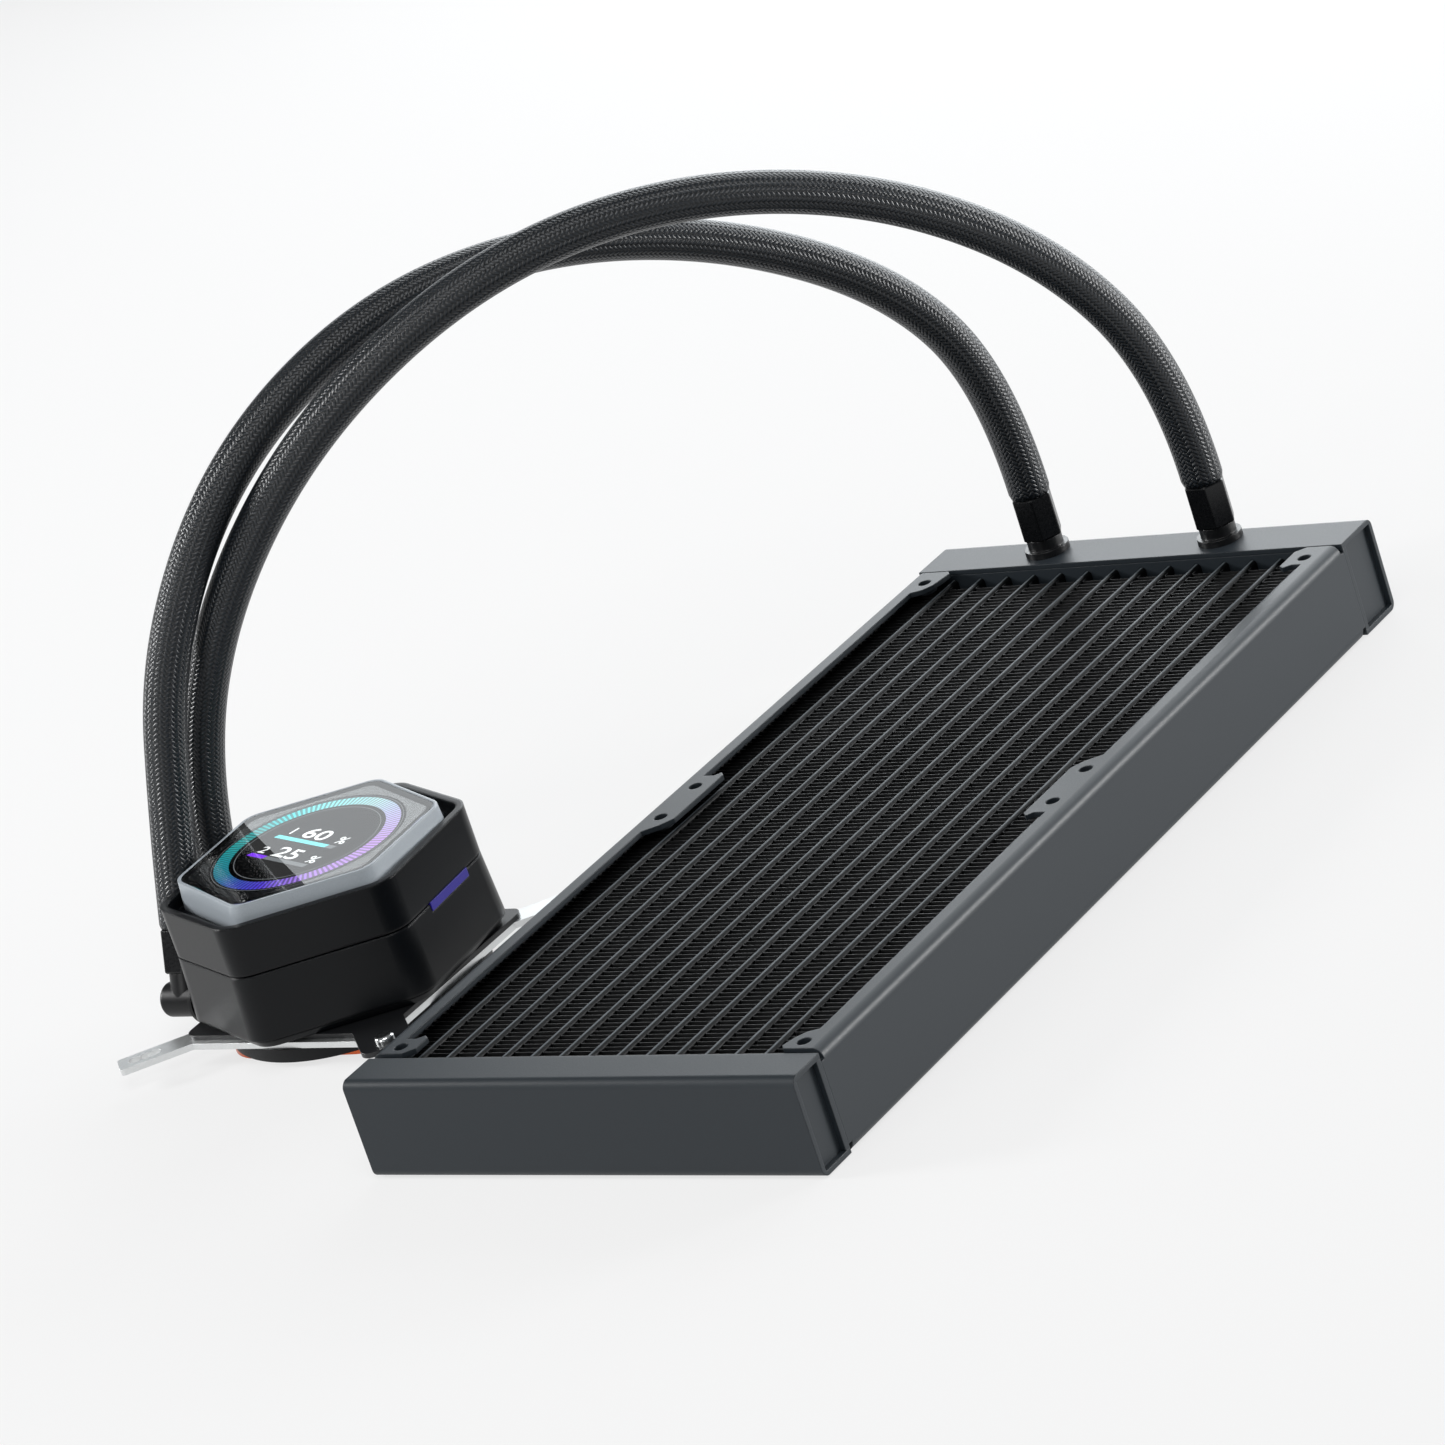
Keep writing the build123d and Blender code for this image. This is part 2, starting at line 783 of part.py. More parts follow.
with BuildPart() as plate_gasket:
    with BuildSketch(Plane.XY.offset(plate_thickness)):
        Circle(gasket_radius + gasket_width / 2)
        Circle(gasket_radius - gasket_width / 2, mode=Mode.SUBTRACT)
    extrude(amount=gasket_height)
plate_gasket.part.label = "plate_gasket"
export_step(plate_gasket.part, "parts/plate_gasket.step")

# Jet plate on the fins: water goes down at its side and comes up through the slot
with BuildPart() as jet_plate:
    with BuildSketch(Plane.XY.offset(base_top - jet_thickness)):
        Circle(jet_radius)
        SlotOverall(jet_slot_length, jet_slot_width, mode=Mode.SUBTRACT)
        with Locations((supply_x, rear_port_y)):
            Circle(jet_supply_radius, mode=Mode.SUBTRACT)
    extrude(amount=jet_thickness)
jet_plate.part.label = "jet_plate"
export_step(jet_plate.part, "parts/jet_plate.step")

# Mounting bracket: a plate with four arms, each with three run-together bolt holes
with BuildPart() as mounting_bracket:
    with BuildSketch(Plane.XY.offset(base_top)) as bracket_outline:
        for turn in (45, 135):
            Rectangle(2 * bracket_arm_reach, bracket_arm_width, rotation=turn)
        fillet(bracket_outline.vertices().sort_by_distance((0, 0))[-8:], arm_tip_corner)
        RectangleRounded(bracket_width, bracket_depth, bracket_corner)
        Circle(collar_opening, mode=Mode.SUBTRACT)
        for square in bolt_squares:
            with GridLocations(square, square, 2, 2):
                Circle(bolt_hole_radius, mode=Mode.SUBTRACT)
    extrude(amount=bracket_thickness)
    extrude(port_bay(base_top), amount=bracket_thickness, mode=Mode.SUBTRACT)
mounting_bracket.part.label = "mounting_bracket"
export_step(mounting_bracket.part, "parts/mounting_bracket.step")

# Clamp frame on the bracket, with two screw ears
with BuildPart() as clamp_frame:
    with BuildSketch(Plane.XY.offset(bracket_top)) as clamp_outline:
        Rectangle(2 * ear_reach, ear_width, rotation=-45)
        fillet(clamp_outline.vertices(), clamp_corner)
        RectangleRounded(clamp_size, clamp_size, clamp_corner)
        Circle(collar_opening, mode=Mode.SUBTRACT)
        with PolarLocations(clamp_screw_place, 2, start_angle=-45):
            Circle(clamp_screw_radius + slip_fit, mode=Mode.SUBTRACT)
    extrude(amount=clamp_thickness)
    extrude(port_bay(bracket_top), amount=clamp_thickness, mode=Mode.SUBTRACT)
clamp_frame.part.label = "clamp_frame"
export_step(clamp_frame.part, "parts/clamp_frame.step")

# Screws that hold the frame's ears, with domed heads
with BuildPart() as clamp_screws:
    with BuildSketch(Plane.XY.offset(bracket_top)):
        with PolarLocations(clamp_screw_place, 2, start_angle=-45):
            Circle(clamp_screw_radius)
    extrude(amount=clamp_thickness)
    with BuildSketch(Plane.XY.offset(clamp_top)):
        with PolarLocations(clamp_screw_place, 2, start_angle=-45):
            Circle(clamp_screw_head)
    extrude(amount=clamp_screw_head_height)
    crown = clamp_screws.edges().group_by(Axis.Z)[-1]
    fillet(crown, 0.6 * clamp_screw_head_height)
clamp_screws.part.label = "clamp_screws"
export_step(clamp_screws.part, "parts/clamp_screws.step")

# Skirt under the lower shell, drawn in towards the frame
with BuildPart() as base_skirt:
    extrude(shell_outline(skirt_top), amount=-skirt_height, taper=skirt_taper)
    with BuildSketch(Plane.XY.offset(clamp_top)):
        Circle(collar_opening)
    extrude(amount=skirt_height, mode=Mode.SUBTRACT)
    extrude(port_bay(clamp_top), amount=skirt_height, mode=Mode.SUBTRACT)
base_skirt.part.label = "base_skirt"
export_step(base_skirt.part, "parts/base_skirt.step")

# Light window in the top edge of the lower shell
window_plane = Plane(
    (window_x, window_y, upper_shell_bottom),
    x_dir=Vector(1, 0, 0).rotate(Axis.Z, window_angle),
    z_dir=(0, 0, 1),
)
with BuildPart() as light_window:
    with BuildSketch(window_plane):
        with Locations((0, window_depth / 2 - window_proud)):
            Rectangle(window_length, window_depth)
    extrude(amount=-window_height)
light_window.part.label = "light_window"
export_step(light_window.part, "parts/light_window.step")

# Lower shell, wider at the foot, with a ledge for the upper shell and a flange on the cup
with BuildPart() as lower_shell:
    extrude(shell_outline(lower_shell_top), amount=-lower_shell_height, taper=-shell_taper)
    extrude(
        shell_outline(ledge_z, lower_wall),
        amount=lower_shell_bottom - ledge_z,
        taper=-shell_taper,
        mode=Mode.SUBTRACT,
    )
    extrude(shell_outline(ledge_z, shell_wall), amount=ledge_depth, mode=Mode.SUBTRACT)
    with BuildSketch(Plane.XY.offset(stator_bottom)):
        add(shell_outline(0, shell_wall))
        Circle(flange_opening, mode=Mode.SUBTRACT)
    extrude(amount=flange_thickness)
    extrude(port_circles(port_hole), amount=port_cut_depth, mode=Mode.SUBTRACT)
    with BuildSketch(window_plane):
        with Locations((0, window_depth / 2 - window_proud)):
            Rectangle(window_length + 2 * slip_fit, window_depth + 2 * slip_fit)
    extrude(amount=-window_height, mode=Mode.SUBTRACT)
lower_shell.part.label = "lower_shell"
export_step(lower_shell.part, "parts/lower_shell.step")

# Upper shell: rim, deck, tongue and three bosses for the board
tongue_inset = shell_wall + 2 * slip_fit
with BuildPart() as upper_shell:
    extrude(shell_outline(upper_shell_bottom), amount=upper_shell_height)
    extrude(
        shell_outline(upper_shell_bottom, shell_wall),
        amount=deck_bottom - upper_shell_bottom,
        mode=Mode.SUBTRACT,
    )
    extrude(shell_outline(deck_top, shell_wall), amount=rim_height, mode=Mode.SUBTRACT)
    with BuildSketch(Plane.XY.offset(ledge_z)):
        add(shell_outline(0, tongue_inset))
        add(shell_outline(0, tongue_inset + tongue_wall), mode=Mode.SUBTRACT)
    extrude(amount=upper_shell_bottom - ledge_z)
    with BuildSketch(Plane.XY.offset(upper_shell_bottom)):
        add(shell_outline(0, shell_wall - tongue_wall))
        add(shell_outline(0, tongue_inset + tongue_wall), mode=Mode.SUBTRACT)
    extrude(amount=shell_wall)
    with BuildSketch(Plane.XY.offset(deck_bottom)):
        with PolarLocations(boss_place, 3):
            Circle(boss_radius)
    extrude(amount=-(deck_bottom - upper_shell_bottom) / 2)
    with BuildSketch(Plane.XY.offset(deck_bottom)):
        with PolarLocations(boss_place, 3):
            Circle(boss_hole + slip_fit)
    extrude(amount=-(deck_bottom - upper_shell_bottom) / 2, mode=Mode.SUBTRACT)
upper_shell.part.label = "upper_shell"
export_step(upper_shell.part, "parts/upper_shell.step")

board_top = deck_bottom - (deck_bottom - upper_shell_bottom) / 2
board_bottom = board_top - board_thickness

# Bezel: a hexagonal frame that flares downwards and holds the glass flush
with BuildPart() as bezel:
    extrude(
        hexagon_outline(bezel_top, bezel_radius, bezel_corner),
        amount=-bezel_height,
        taper=-bezel_taper,
    )
    extrude(
        hexagon_outline(deck_top, bezel_opening, bezel_corner - shell_wall),
        amount=bezel_height,
        mode=Mode.SUBTRACT,
    )
    extrude(
        hexagon_outline(glass_bottom, glass_radius + 2 * slip_fit, bezel_corner - 2 * slip_fit),
        amount=glass_thickness,
        mode=Mode.SUBTRACT,
    )
bezel.part.label = "bezel"
export_step(bezel.part, "parts/bezel.step")

with BuildPart() as screen_glass:
    extrude(hexagon_outline(glass_bottom, glass_radius, bezel_corner - 2 * slip_fit), amount=glass_thickness)
screen_glass.part.label = "screen_glass"
export_step(screen_glass.part, "parts/screen_glass.step")

with BuildPart() as display_panel:
    with BuildSketch(Plane.XY.offset(panel_bottom)):
        Circle(panel_radius)
    extrude(amount=panel_thickness)
display_panel.part.label = "display_panel"
export_step(display_panel.part, "parts/display_panel.step")

with BuildPart() as display_carrier:
    with BuildSketch(Plane.XY.offset(deck_top)):
        add(hexagon_outline(0, bezel_opening - shell_gap, bezel_corner - shell_wall))
        Circle(carrier_bore, mode=Mode.SUBTRACT)
    extrude(amount=panel_bottom - deck_top)
display_carrier.part.label = "display_carrier"
export_step(display_carrier.part, "parts/display_carrier.step")

# Pump chamber: port bosses, water ways and the impeller's cavity
with BuildPart() as pump_chamber:
    with BuildSketch(Plane.XY.offset(base_top)):
        Circle(chamber_radius)
    extrude(amount=chamber_height)
    for place, port_y, stem_x, lean, collar_x in elbows:
        with BuildSketch(Plane.YZ.offset(collar_x + shell_gap)):
            with Locations((port_y, port_z)):
                Circle(port_boss_radius)
        extrude(amount=elbow_spigot_end - collar_x)
    with BuildSketch(Plane.XY.offset(base_top + chamber_floor)):
        Circle(cavity_radius)
        Circle(bearing_boss_radius, mode=Mode.SUBTRACT)
    extrude(amount=chamber_height - chamber_floor, mode=Mode.SUBTRACT)
    with BuildSketch(Plane.XY.offset(base_top + chamber_floor + rotor_gap)):
        Circle(bearing_boss_radius)
    extrude(amount=chamber_height - chamber_floor - rotor_gap, mode=Mode.SUBTRACT)
    with BuildSketch(Plane.XY.offset(base_top)):
        with PolarLocations(inlet_place, 4, start_angle=45):
            Circle(inlet_radius)
    extrude(amount=chamber_floor, mode=Mode.SUBTRACT)
    with BuildSketch(Plane.XY.offset(base_top + chamber_floor + rotor_gap)):
        Circle(shaft_radius)
    extrude(amount=-shaft_sink - rotor_gap, mode=Mode.SUBTRACT)
    for place, port_y, stem_x, lean, collar_x in elbows:
        with BuildSketch(Plane.YZ.offset(collar_x + shell_gap)):
            with Locations((port_y, port_z)):
                Circle(elbow_spigot_radius + slip_fit)
        extrude(amount=elbow_spigot_end - collar_x, mode=Mode.SUBTRACT)
    with BuildSketch(Plane.YZ.offset(elbow_spigot_end - shell_gap)):
        with Locations((front_port_y, port_z)):
            Circle(water_bore)
    extrude(amount=outlet_x - elbow_spigot_end + water_bore, mode=Mode.SUBTRACT)
    with BuildSketch(Plane((outlet_x, front_port_y, port_z), x_dir=(1, 0, 0), z_dir=(0, 1, 0))):
        Circle(water_bore - 2 * slip_fit)
    extrude(amount=cavity_radius, mode=Mode.SUBTRACT)
    with BuildSketch(Plane.YZ.offset(elbow_spigot_end - shell_gap)):
        with Locations((rear_port_y, port_z)):
            Circle(water_bore)
    extrude(amount=supply_x - elbow_spigot_end, mode=Mode.SUBTRACT)
    with BuildSketch(Plane.XY.offset(base_top)):
        with Locations((supply_x, rear_port_y)):
            Circle(jet_supply_radius)
    extrude(amount=port_z - base_top, mode=Mode.SUBTRACT)
pump_chamber.part.label = "pump_chamber"
export_step(pump_chamber.part, "parts/pump_chamber.step")

# Thin cup that keeps the water from the motor's coils
with BuildPart() as isolation_cup:
    with BuildSketch(Plane.XZ):
        with BuildLine():
            Polyline(
                (cup_radius - cup_wall, chamber_top),
                (chamber_radius, chamber_top),
                (chamber_radius, stator_bottom),
                (cup_radius, stator_bottom),
                (cup_radius, cup_top),
                (0, cup_top),
                (0, cup_top - cup_wall),
                (shaft_radius + slip_fit, cup_top - cup_wall),
                (shaft_radius + slip_fit, cup_top - 2 * cup_wall),
                (bearing_boss_radius, cup_top - 2 * cup_wall),
                (bearing_boss_radius, cup_top - cup_wall),
                (cup_radius - cup_wall, cup_top - cup_wall),
                close=True,
            )
        make_face()
    revolve(axis=Axis.Z)
isolation_cup.part.label = "isolation_cup"
export_step(isolation_cup.part, "parts/isolation_cup.step")

# Rotor: impeller with backward-swept vanes under its disc, magnet and bushing
disc_bottom = rotor_bottom + vane_height
magnet_bottom = disc_bottom + disc_thickness
rotor_top = rotor_bottom + rotor_length
with BuildPart() as impeller:
    with BuildSketch(Plane.XY.offset(rotor_bottom)):
        Circle(hub_radius)
    extrude(amount=rotor_length)
    with BuildSketch(Plane.XY.offset(disc_bottom)):
        Circle(impeller_radius)
    extrude(amount=disc_thickness)
    with BuildSketch(Plane.XY.offset(rotor_bottom)):
        with PolarLocations(0, impeller_vanes):
            with BuildLine():
                ThreePointArc((4.6, 0.5), (7.8, -0.1), (10.4, -2.9))
                Line((10.4, -2.9), (10.0, -3.8))
                ThreePointArc((10.0, -3.8), (7.5, -1.2), (4.6, -0.5))
                Line((4.6, -0.5), (4.6, 0.5))
            make_face()
    extrude(amount=vane_height)
    with BuildSketch(Plane.XY.offset(rotor_bottom)):
        Circle(bushing_radius + slip_fit / 2)
    extrude(amount=rotor_length, mode=Mode.SUBTRACT)
impeller.part.label = "impeller"
export_step(impeller.part, "parts/impeller.step")

with BuildPart() as rotor_magnet:
    with BuildSketch(Plane.XY.offset(magnet_bottom)):
        Circle(magnet_radius)
        Circle(hub_radius + slip_fit, mode=Mode.SUBTRACT)
    extrude(amount=rotor_top - magnet_bottom)
rotor_magnet.part.label = "rotor_magnet"
export_step(rotor_magnet.part, "parts/rotor_magnet.step")

with BuildPart() as rotor_bushing:
    with BuildSketch(Plane.XY.offset(rotor_bottom)):
        Circle(bushing_radius)
        Circle(shaft_radius + slip_fit, mode=Mode.SUBTRACT)
    extrude(amount=rotor_length)
rotor_bushing.part.label = "rotor_bushing"
export_step(rotor_bushing.part, "parts/rotor_bushing.step")

with BuildPart() as rotor_shaft:
    with BuildSketch(Plane.XY.offset(base_top + chamber_floor - shaft_sink)):
        Circle(shaft_radius)
    extrude(amount=shaft_length)
rotor_shaft.part.label = "rotor_shaft"
export_step(rotor_shaft.part, "parts/rotor_shaft.step")

# Motor stator round the cup
tooth_middle = stator_bottom + stator_height / 2
tooth_tip = cup_radius + shell_gap
yoke_inner = stator_radius - stator_yoke
with BuildPart() as stator_core:
    with BuildSketch(Plane.XY.offset(stator_bottom)):
        Circle(stator_radius)
        Circle(yoke_inner, mode=Mode.SUBTRACT)
    extrude(amount=stator_height)
    with BuildSketch(Plane.XY.offset(tooth_middle - tooth_width / 2)):
        with PolarLocations((tooth_tip + yoke_inner) / 2 + slip_fit, stator_teeth):
            Rectangle(yoke_inner - tooth_tip + 4 * slip_fit, tooth_width)
    extrude(amount=tooth_width)
stator_core.part.label = "stator_core"
export_step(stator_core.part, "parts/stator_core.step")

with BuildPart() as stator_coils:
    with PolarLocations((tooth_tip + yoke_inner) / 2 + shell_gap / 2, stator_teeth):
        with Locations((0, 0, tooth_middle)):
            Box(coil_length, coil_width, coil_height)
            Box(coil_length, tooth_width + slip_fit, tooth_width + slip_fit, mode=Mode.SUBTRACT)
stator_coils.part.label = "stator_coils"
export_step(stator_coils.part, "parts/stator_coils.step")

# Control board under the deck, its parts and screws
with BuildPart() as control_board:
    with BuildSketch(Plane.XY.offset(board_bottom)):
        Circle(board_radius)
        with PolarLocations(boss_place, 3):
            Circle(boss_hole + slip_fit, mode=Mode.SUBTRACT)
    extrude(amount=board_thickness)
control_board.part.label = "control_board"
export_step(control_board.part, "parts/control_board.step")

with BuildPart() as board_parts:
    for middle, size in (
        ((0, 0), (7.0, 7.0, 1.0)),
        ((-9, 8), (5.0, 4.0, 1.2)),
        ((9, -9), (4.0, 6.0, 1.2)),
        ((8, 10), (9.0, 4.5, 1.6)),
    ):
        with Locations((*middle, board_top)):
            Box(*size, align=(Align.CENTER, Align.CENTER, Align.MIN))
board_parts.part.label = "board_parts"
export_step(board_parts.part, "parts/board_parts.step")

with BuildPart() as board_screws:
    with BuildSketch(Plane.XY.offset(board_bottom)):
        with PolarLocations(boss_place, 3):
            Circle(boss_hole)
    extrude(amount=board_thickness + boss_radius)
    with BuildSketch(Plane.XY.offset(board_bottom)):
        with PolarLocations(boss_place, 3):
            Circle(board_screw_head)
    extrude(amount=-boss_hole)
board_screws.part.label = "board_screws"
export_step(board_screws.part, "parts/board_screws.step")
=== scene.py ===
"""Closed-loop liquid cooler for a processor: surfaces, fine fins, braided hoses, lit display and stage."""

import math

import bpy
import numpy as np
from mathutils import Matrix, Vector


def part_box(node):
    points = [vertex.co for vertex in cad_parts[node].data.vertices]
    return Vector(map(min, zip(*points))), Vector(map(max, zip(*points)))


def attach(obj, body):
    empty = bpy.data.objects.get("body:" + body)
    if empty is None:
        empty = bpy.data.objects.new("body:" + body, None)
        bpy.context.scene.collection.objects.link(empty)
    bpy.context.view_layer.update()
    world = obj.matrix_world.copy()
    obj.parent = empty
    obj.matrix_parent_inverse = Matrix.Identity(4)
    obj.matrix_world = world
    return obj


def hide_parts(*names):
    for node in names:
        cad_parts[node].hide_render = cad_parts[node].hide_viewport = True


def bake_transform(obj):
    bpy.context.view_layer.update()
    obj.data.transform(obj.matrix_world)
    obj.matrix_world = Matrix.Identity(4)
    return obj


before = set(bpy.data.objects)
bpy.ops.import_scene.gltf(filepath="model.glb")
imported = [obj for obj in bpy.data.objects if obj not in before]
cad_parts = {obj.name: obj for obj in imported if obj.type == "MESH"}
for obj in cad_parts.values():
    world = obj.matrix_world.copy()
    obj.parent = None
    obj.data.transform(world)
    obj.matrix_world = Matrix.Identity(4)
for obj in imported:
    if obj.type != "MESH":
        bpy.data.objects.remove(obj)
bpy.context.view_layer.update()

bl_info = {
    "name": "Liquid cooler dressing",
    "version": (1, 0, 0),
    "blender": (4, 5, 0),
    "location": "3D View > Sidebar > Cooler",
    "description": "Dresses the packed cooler with its finishes, fins, hoses, display and stage",
    "category": "Object",
}

MM = 0.001

# Routes of the hoses, from a neck on the radiator over the arch to an elbow at the pump
HOSE_RADIUS = 5.0 * MM
HOSE_ROUTES = {
    "hose_right": [
        (0.1413, 0.1750, 0.0384),
        (0.1413, 0.1750, 0.0670),
        (0.1285, 0.1595, 0.1045),
        (0.1045, 0.1325, 0.1335),
        (0.0735, 0.1005, 0.1485),
        (0.0395, 0.0700, 0.1455),
        (0.0055, 0.0415, 0.1245),
        (-0.0215, 0.0215, 0.0910),
        (-0.0383, 0.01307, 0.05168),
        (-0.0383, 0.00908, 0.02650),
    ],
    "hose_left": [
        (0.0933, 0.1750, 0.0384),
        (0.0933, 0.1750, 0.0680),
        (0.0820, 0.1623, 0.0995),
        (0.0590, 0.1340, 0.1260),
        (0.0330, 0.1005, 0.1405),
        (0.0075, 0.0660, 0.1395),
        (-0.0150, 0.0325, 0.1205),
        (-0.0295, 0.0075, 0.0865),
        (-0.0360, -0.00266, 0.04685),
        (-0.0360, -0.01036, 0.02570),
    ],
}
# Share of its radius that a hose keeps where its braid is gathered, and its facets round
HOSE_END_SHARE = 0.93
HOSE_SIDES = 64

# Flat tubes of the core; the painted highlight, a light line along a tube's nose, fades in between two
# depths below the nose
TUBE_COUNT = 14
TUBE_THICKNESS = 1.8 * MM
PAINTED_HIGHLIGHT_FADE = (0.06 * MM, 0.02 * MM)

# Braid: fine threads in a bundle, the share of its height that they give, and the height itself
BRAID_FILAMENTS = 5
BRAID_FILAMENT_SHARE = 0.04
BRAID_RELIEF = 0.14 * MM

# Display: gap above its panel, thickness of the lit layer, turn of the readouts, a bar's width and lean
DISPLAY_GAP = 0.01 * MM
DISPLAY_DEPTH = 0.04 * MM
DISPLAY_TURN = math.radians(-17.5)
BAR_WIDTH = 1.4 * MM
BAR_LEAN = 0.5 * MM
# Lit ring: facets and ticks round it, then its inner and outer radius and those of the lines beside it
RING_STEPS = 256
RING_TICKS = 110
RING_RADII = (18.6 * MM, 22.2 * MM)
INNER_LINE_RADII = (17.3 * MM, 17.5 * MM)
OUTER_LINE_RADII = (22.7 * MM, 22.85 * MM)
# How much the typeface is thickened, then each kind's height and how much wider than usual it is
LETTER_BOLDNESS = 0.016
VALUE_LETTERS = (4.3 * MM, 1.55)
PERCENT_LETTERS = (3.0 * MM, 1.15)
CHANNEL_LETTERS = (2.8 * MM, 1.4)
# Places on the panel in millimetres from its middle, and the share of each bar that is lit
READOUTS = {
    "upper": {
        "channel": "1", "value_at": (-5.0, 3.5), "percent_at": (7.9, -0.4), "channel_at": (-10.2, 5.4),
        "bar_from": (-12.2, 4.1), "bar_to": (9.6, -2.8), "lit_share": 0.88,
    },
    "lower": {
        "channel": "2", "value_at": (-7.0, -5.5), "percent_at": (5.9, -9.4), "channel_at": (-12.3, -3.6),
        "bar_from": (-13.9, -4.5), "bar_to": (7.6, -11.4), "lit_share": 0.28,
    },
}

# Printed border under the glass: half the distance across its flats, to its corners and to its opening,
# and the depths of its upper and lower face below the lit layer
BEZEL_YAW = math.radians(3)
BORDER_REACH = 26.2 * MM
BORDER_CORNER = 28.8 * MM
BORDER_OPENING = 23.45 * MM
BORDER_DEPTHS = (0.02 * MM, 0.09 * MM)
BORDER_STEPS = 288

# Camera's target, and the floor's half width
LOOK_AT = (0.0752, 0.0611, 0.0364)
FLOOR_REACH = 8.0
# Share of the floor's own plain colour in what the camera sees, and strength of the world's light
FLOOR_PLAIN_SHARE = 0.82
WORLD_STRENGTH = 0.22

# Lamps: place, target, width and power in watts
OBJECT_MIDDLE = (0.08, 0.06, 0.03)
LAMPS = {
    "key_lamp": ((0.6, -0.6, 1.3), OBJECT_MIDDLE, 0.8, 11.0),
    "front_lamp": ((-0.15, -1.3, 0.5), OBJECT_MIDDLE, 0.4, 4.0),
    "left_lamp": ((-1.0, -0.35, 0.55), (0, 0, 0.06), 0.3, 12.0),
    "right_lamp": ((1.1, 0.95, 0.2), OBJECT_MIDDLE, 0.5, 18.0),
}

# Softbox behind the object: its upright plane's y, its right edge's x, its lowest and highest level,
# the two points of its mirrored left edge on the glass, and its strength, which rises between two x
SOFTBOX_PLANE = 0.9
SOFTBOX_RIGHT = 0.45
SOFTBOX_LEVELS = (0.04, 0.88)
SOFTBOX_MIRRORED_EDGE = ((-27.9 * MM, 11.7 * MM), (16.1 * MM, -22.0 * MM))
SOFTBOX_RISE = (-0.74, -0.48)
SOFTBOX_STRENGTHS = (1.7, 4.6)


def linear(colour):
    """Linear red, green, blue and alpha of an sRGB hex text."""
    values = np.array([int(colour[place:place + 2], 16) for place in (1, 3, 5)]) / 255
    curved = ((values + 0.055) / 1.055) ** 2.4
    return (*np.where(values <= 0.04045, values / 12.92, curved).tolist(), 1.0)


def colour_property(name, description, colour):
    """A colour that the panel shows, given as sRGB hex text."""
    return bpy.props.FloatVectorProperty(
        name=name, description=description, subtype="COLOR", size=4, min=0, max=1, default=linear(colour)
    )


def length_property(name, description, value):
    """A length in metres that the panel shows in the scene's units."""
    return bpy.props.FloatProperty(
        name=name, description=description, subtype="DISTANCE", unit="LENGTH", precision=5, default=value
    )


def angle_property(name, description, degrees):
    """An angle that the panel shows in degrees."""
    return bpy.props.FloatProperty(
        name=name, description=description, subtype="ANGLE", unit="ROTATION", default=math.radians(degrees)
    )


class CoolerRadiatorSettings(bpy.types.PropertyGroup):
    """Radiator and its core."""

    coat: colour_property("Coat", "Powder coat of the tanks and rails", "#20262B")
    tube: colour_property("Tube", "Paint on the flat coolant tubes", "#060708")
    # Crown is a painted highlight: the colour of a light line along each tube's nose that stands in for its
    # glint
    crown: colour_property("Crown", "Narrow stripe where the paint is rubbed along a tube", "#4A5054")
    fin: colour_property("Fin", "Paint on the folded fins", "#0A0B0C")
    fin_pitch: length_property("Fin pitch", "Distance from one fin to the next", 1.75 * MM)
    fin_sheet: length_property("Fin sheet", "Thickness of the folded sheet", 0.14 * MM)
    fin_crest: length_property("Fin crest", "Radius of the fold beside a tube", 0.35 * MM)


class CoolerHoseSettings(bpy.types.PropertyGroup):
    """Braided hoses and their fittings."""

    thread: colour_property("Thread", "Nylon thread of the braid", "#161C22")
    shadow: colour_property("Shadow", "Tone between the threads", "#020304")
    fitting: colour_property("Fitting", "Ferrules, necks and elbows", "#050608")
    tows: bpy.props.IntProperty(
        name="Tows", description="Thread bundles of one hand round the hose", default=26, min=8
    )
    tow_pitch: length_property("Tow pitch", "Distance along the hose between bundles", 1.15 * MM)


class CoolerPumpSettings(bpy.types.PropertyGroup):
    """Pump head's housing and what mounts it."""

    shell: colour_property("Shell", "Moulded shells of the pump head", "#06080B")
    bezel: colour_property("Bezel", "Painted bezel round the glass", "#959CA2")
    window: colour_property("Window", "Lit window in the seam", "#251E74")
    plating: colour_property("Plating", "Bright plating of bracket and screws", "#E2E4E4")
    copper: colour_property("Copper", "Cold plate", "#C9623C")


class CoolerDisplaySettings(bpy.types.PropertyGroup):
    """Round display below the glass."""

    upper_value: bpy.props.StringProperty(name="Upper value", description="Upper readout", default="60")
    lower_value: bpy.props.StringProperty(name="Lower value", description="Lower readout", default="25")
    upper_bar: colour_property("Upper bar", "Bar below the upper readout", "#6FE6EA")
    lower_bar: colour_property("Lower bar", "Bar below the lower readout", "#7A1CF0")
    figures: colour_property("Figures", "Figures of the readouts", "#F4F6F6")
    rest: colour_property("Rest", "Unfilled part of a bar and the thin rings", "#6B6F72")
    glow: bpy.props.FloatProperty(name="Glow", description="Strength of the lit parts", default=1.4, min=0)


class CoolerStageSettings(bpy.types.PropertyGroup):
    """Camera, floor and lights."""

    backdrop: colour_property("Backdrop", "Floor and background", "#F2F2F2")
    azimuth: angle_property("Azimuth", "Way that the camera looks, from +Y towards -X", 39.20)
    elevation: angle_property("Elevation", "Height of the camera above the horizon", 19.98)
    roll: angle_property("Roll", "Turn of the camera about its view", 18.53)
    distance: length_property("Distance", "From the camera to the middle of the object", 1.409)
    lens: bpy.props.FloatProperty(name="Lens", description="Focal length in millimetres", default=156.36)


SETTINGS = {
    "cooler_radiator": CoolerRadiatorSettings,
    "cooler_hoses": CoolerHoseSettings,
    "cooler_pump": CoolerPumpSettings,
    "cooler_display": CoolerDisplaySettings,
    "cooler_stage": CoolerStageSettings,
}


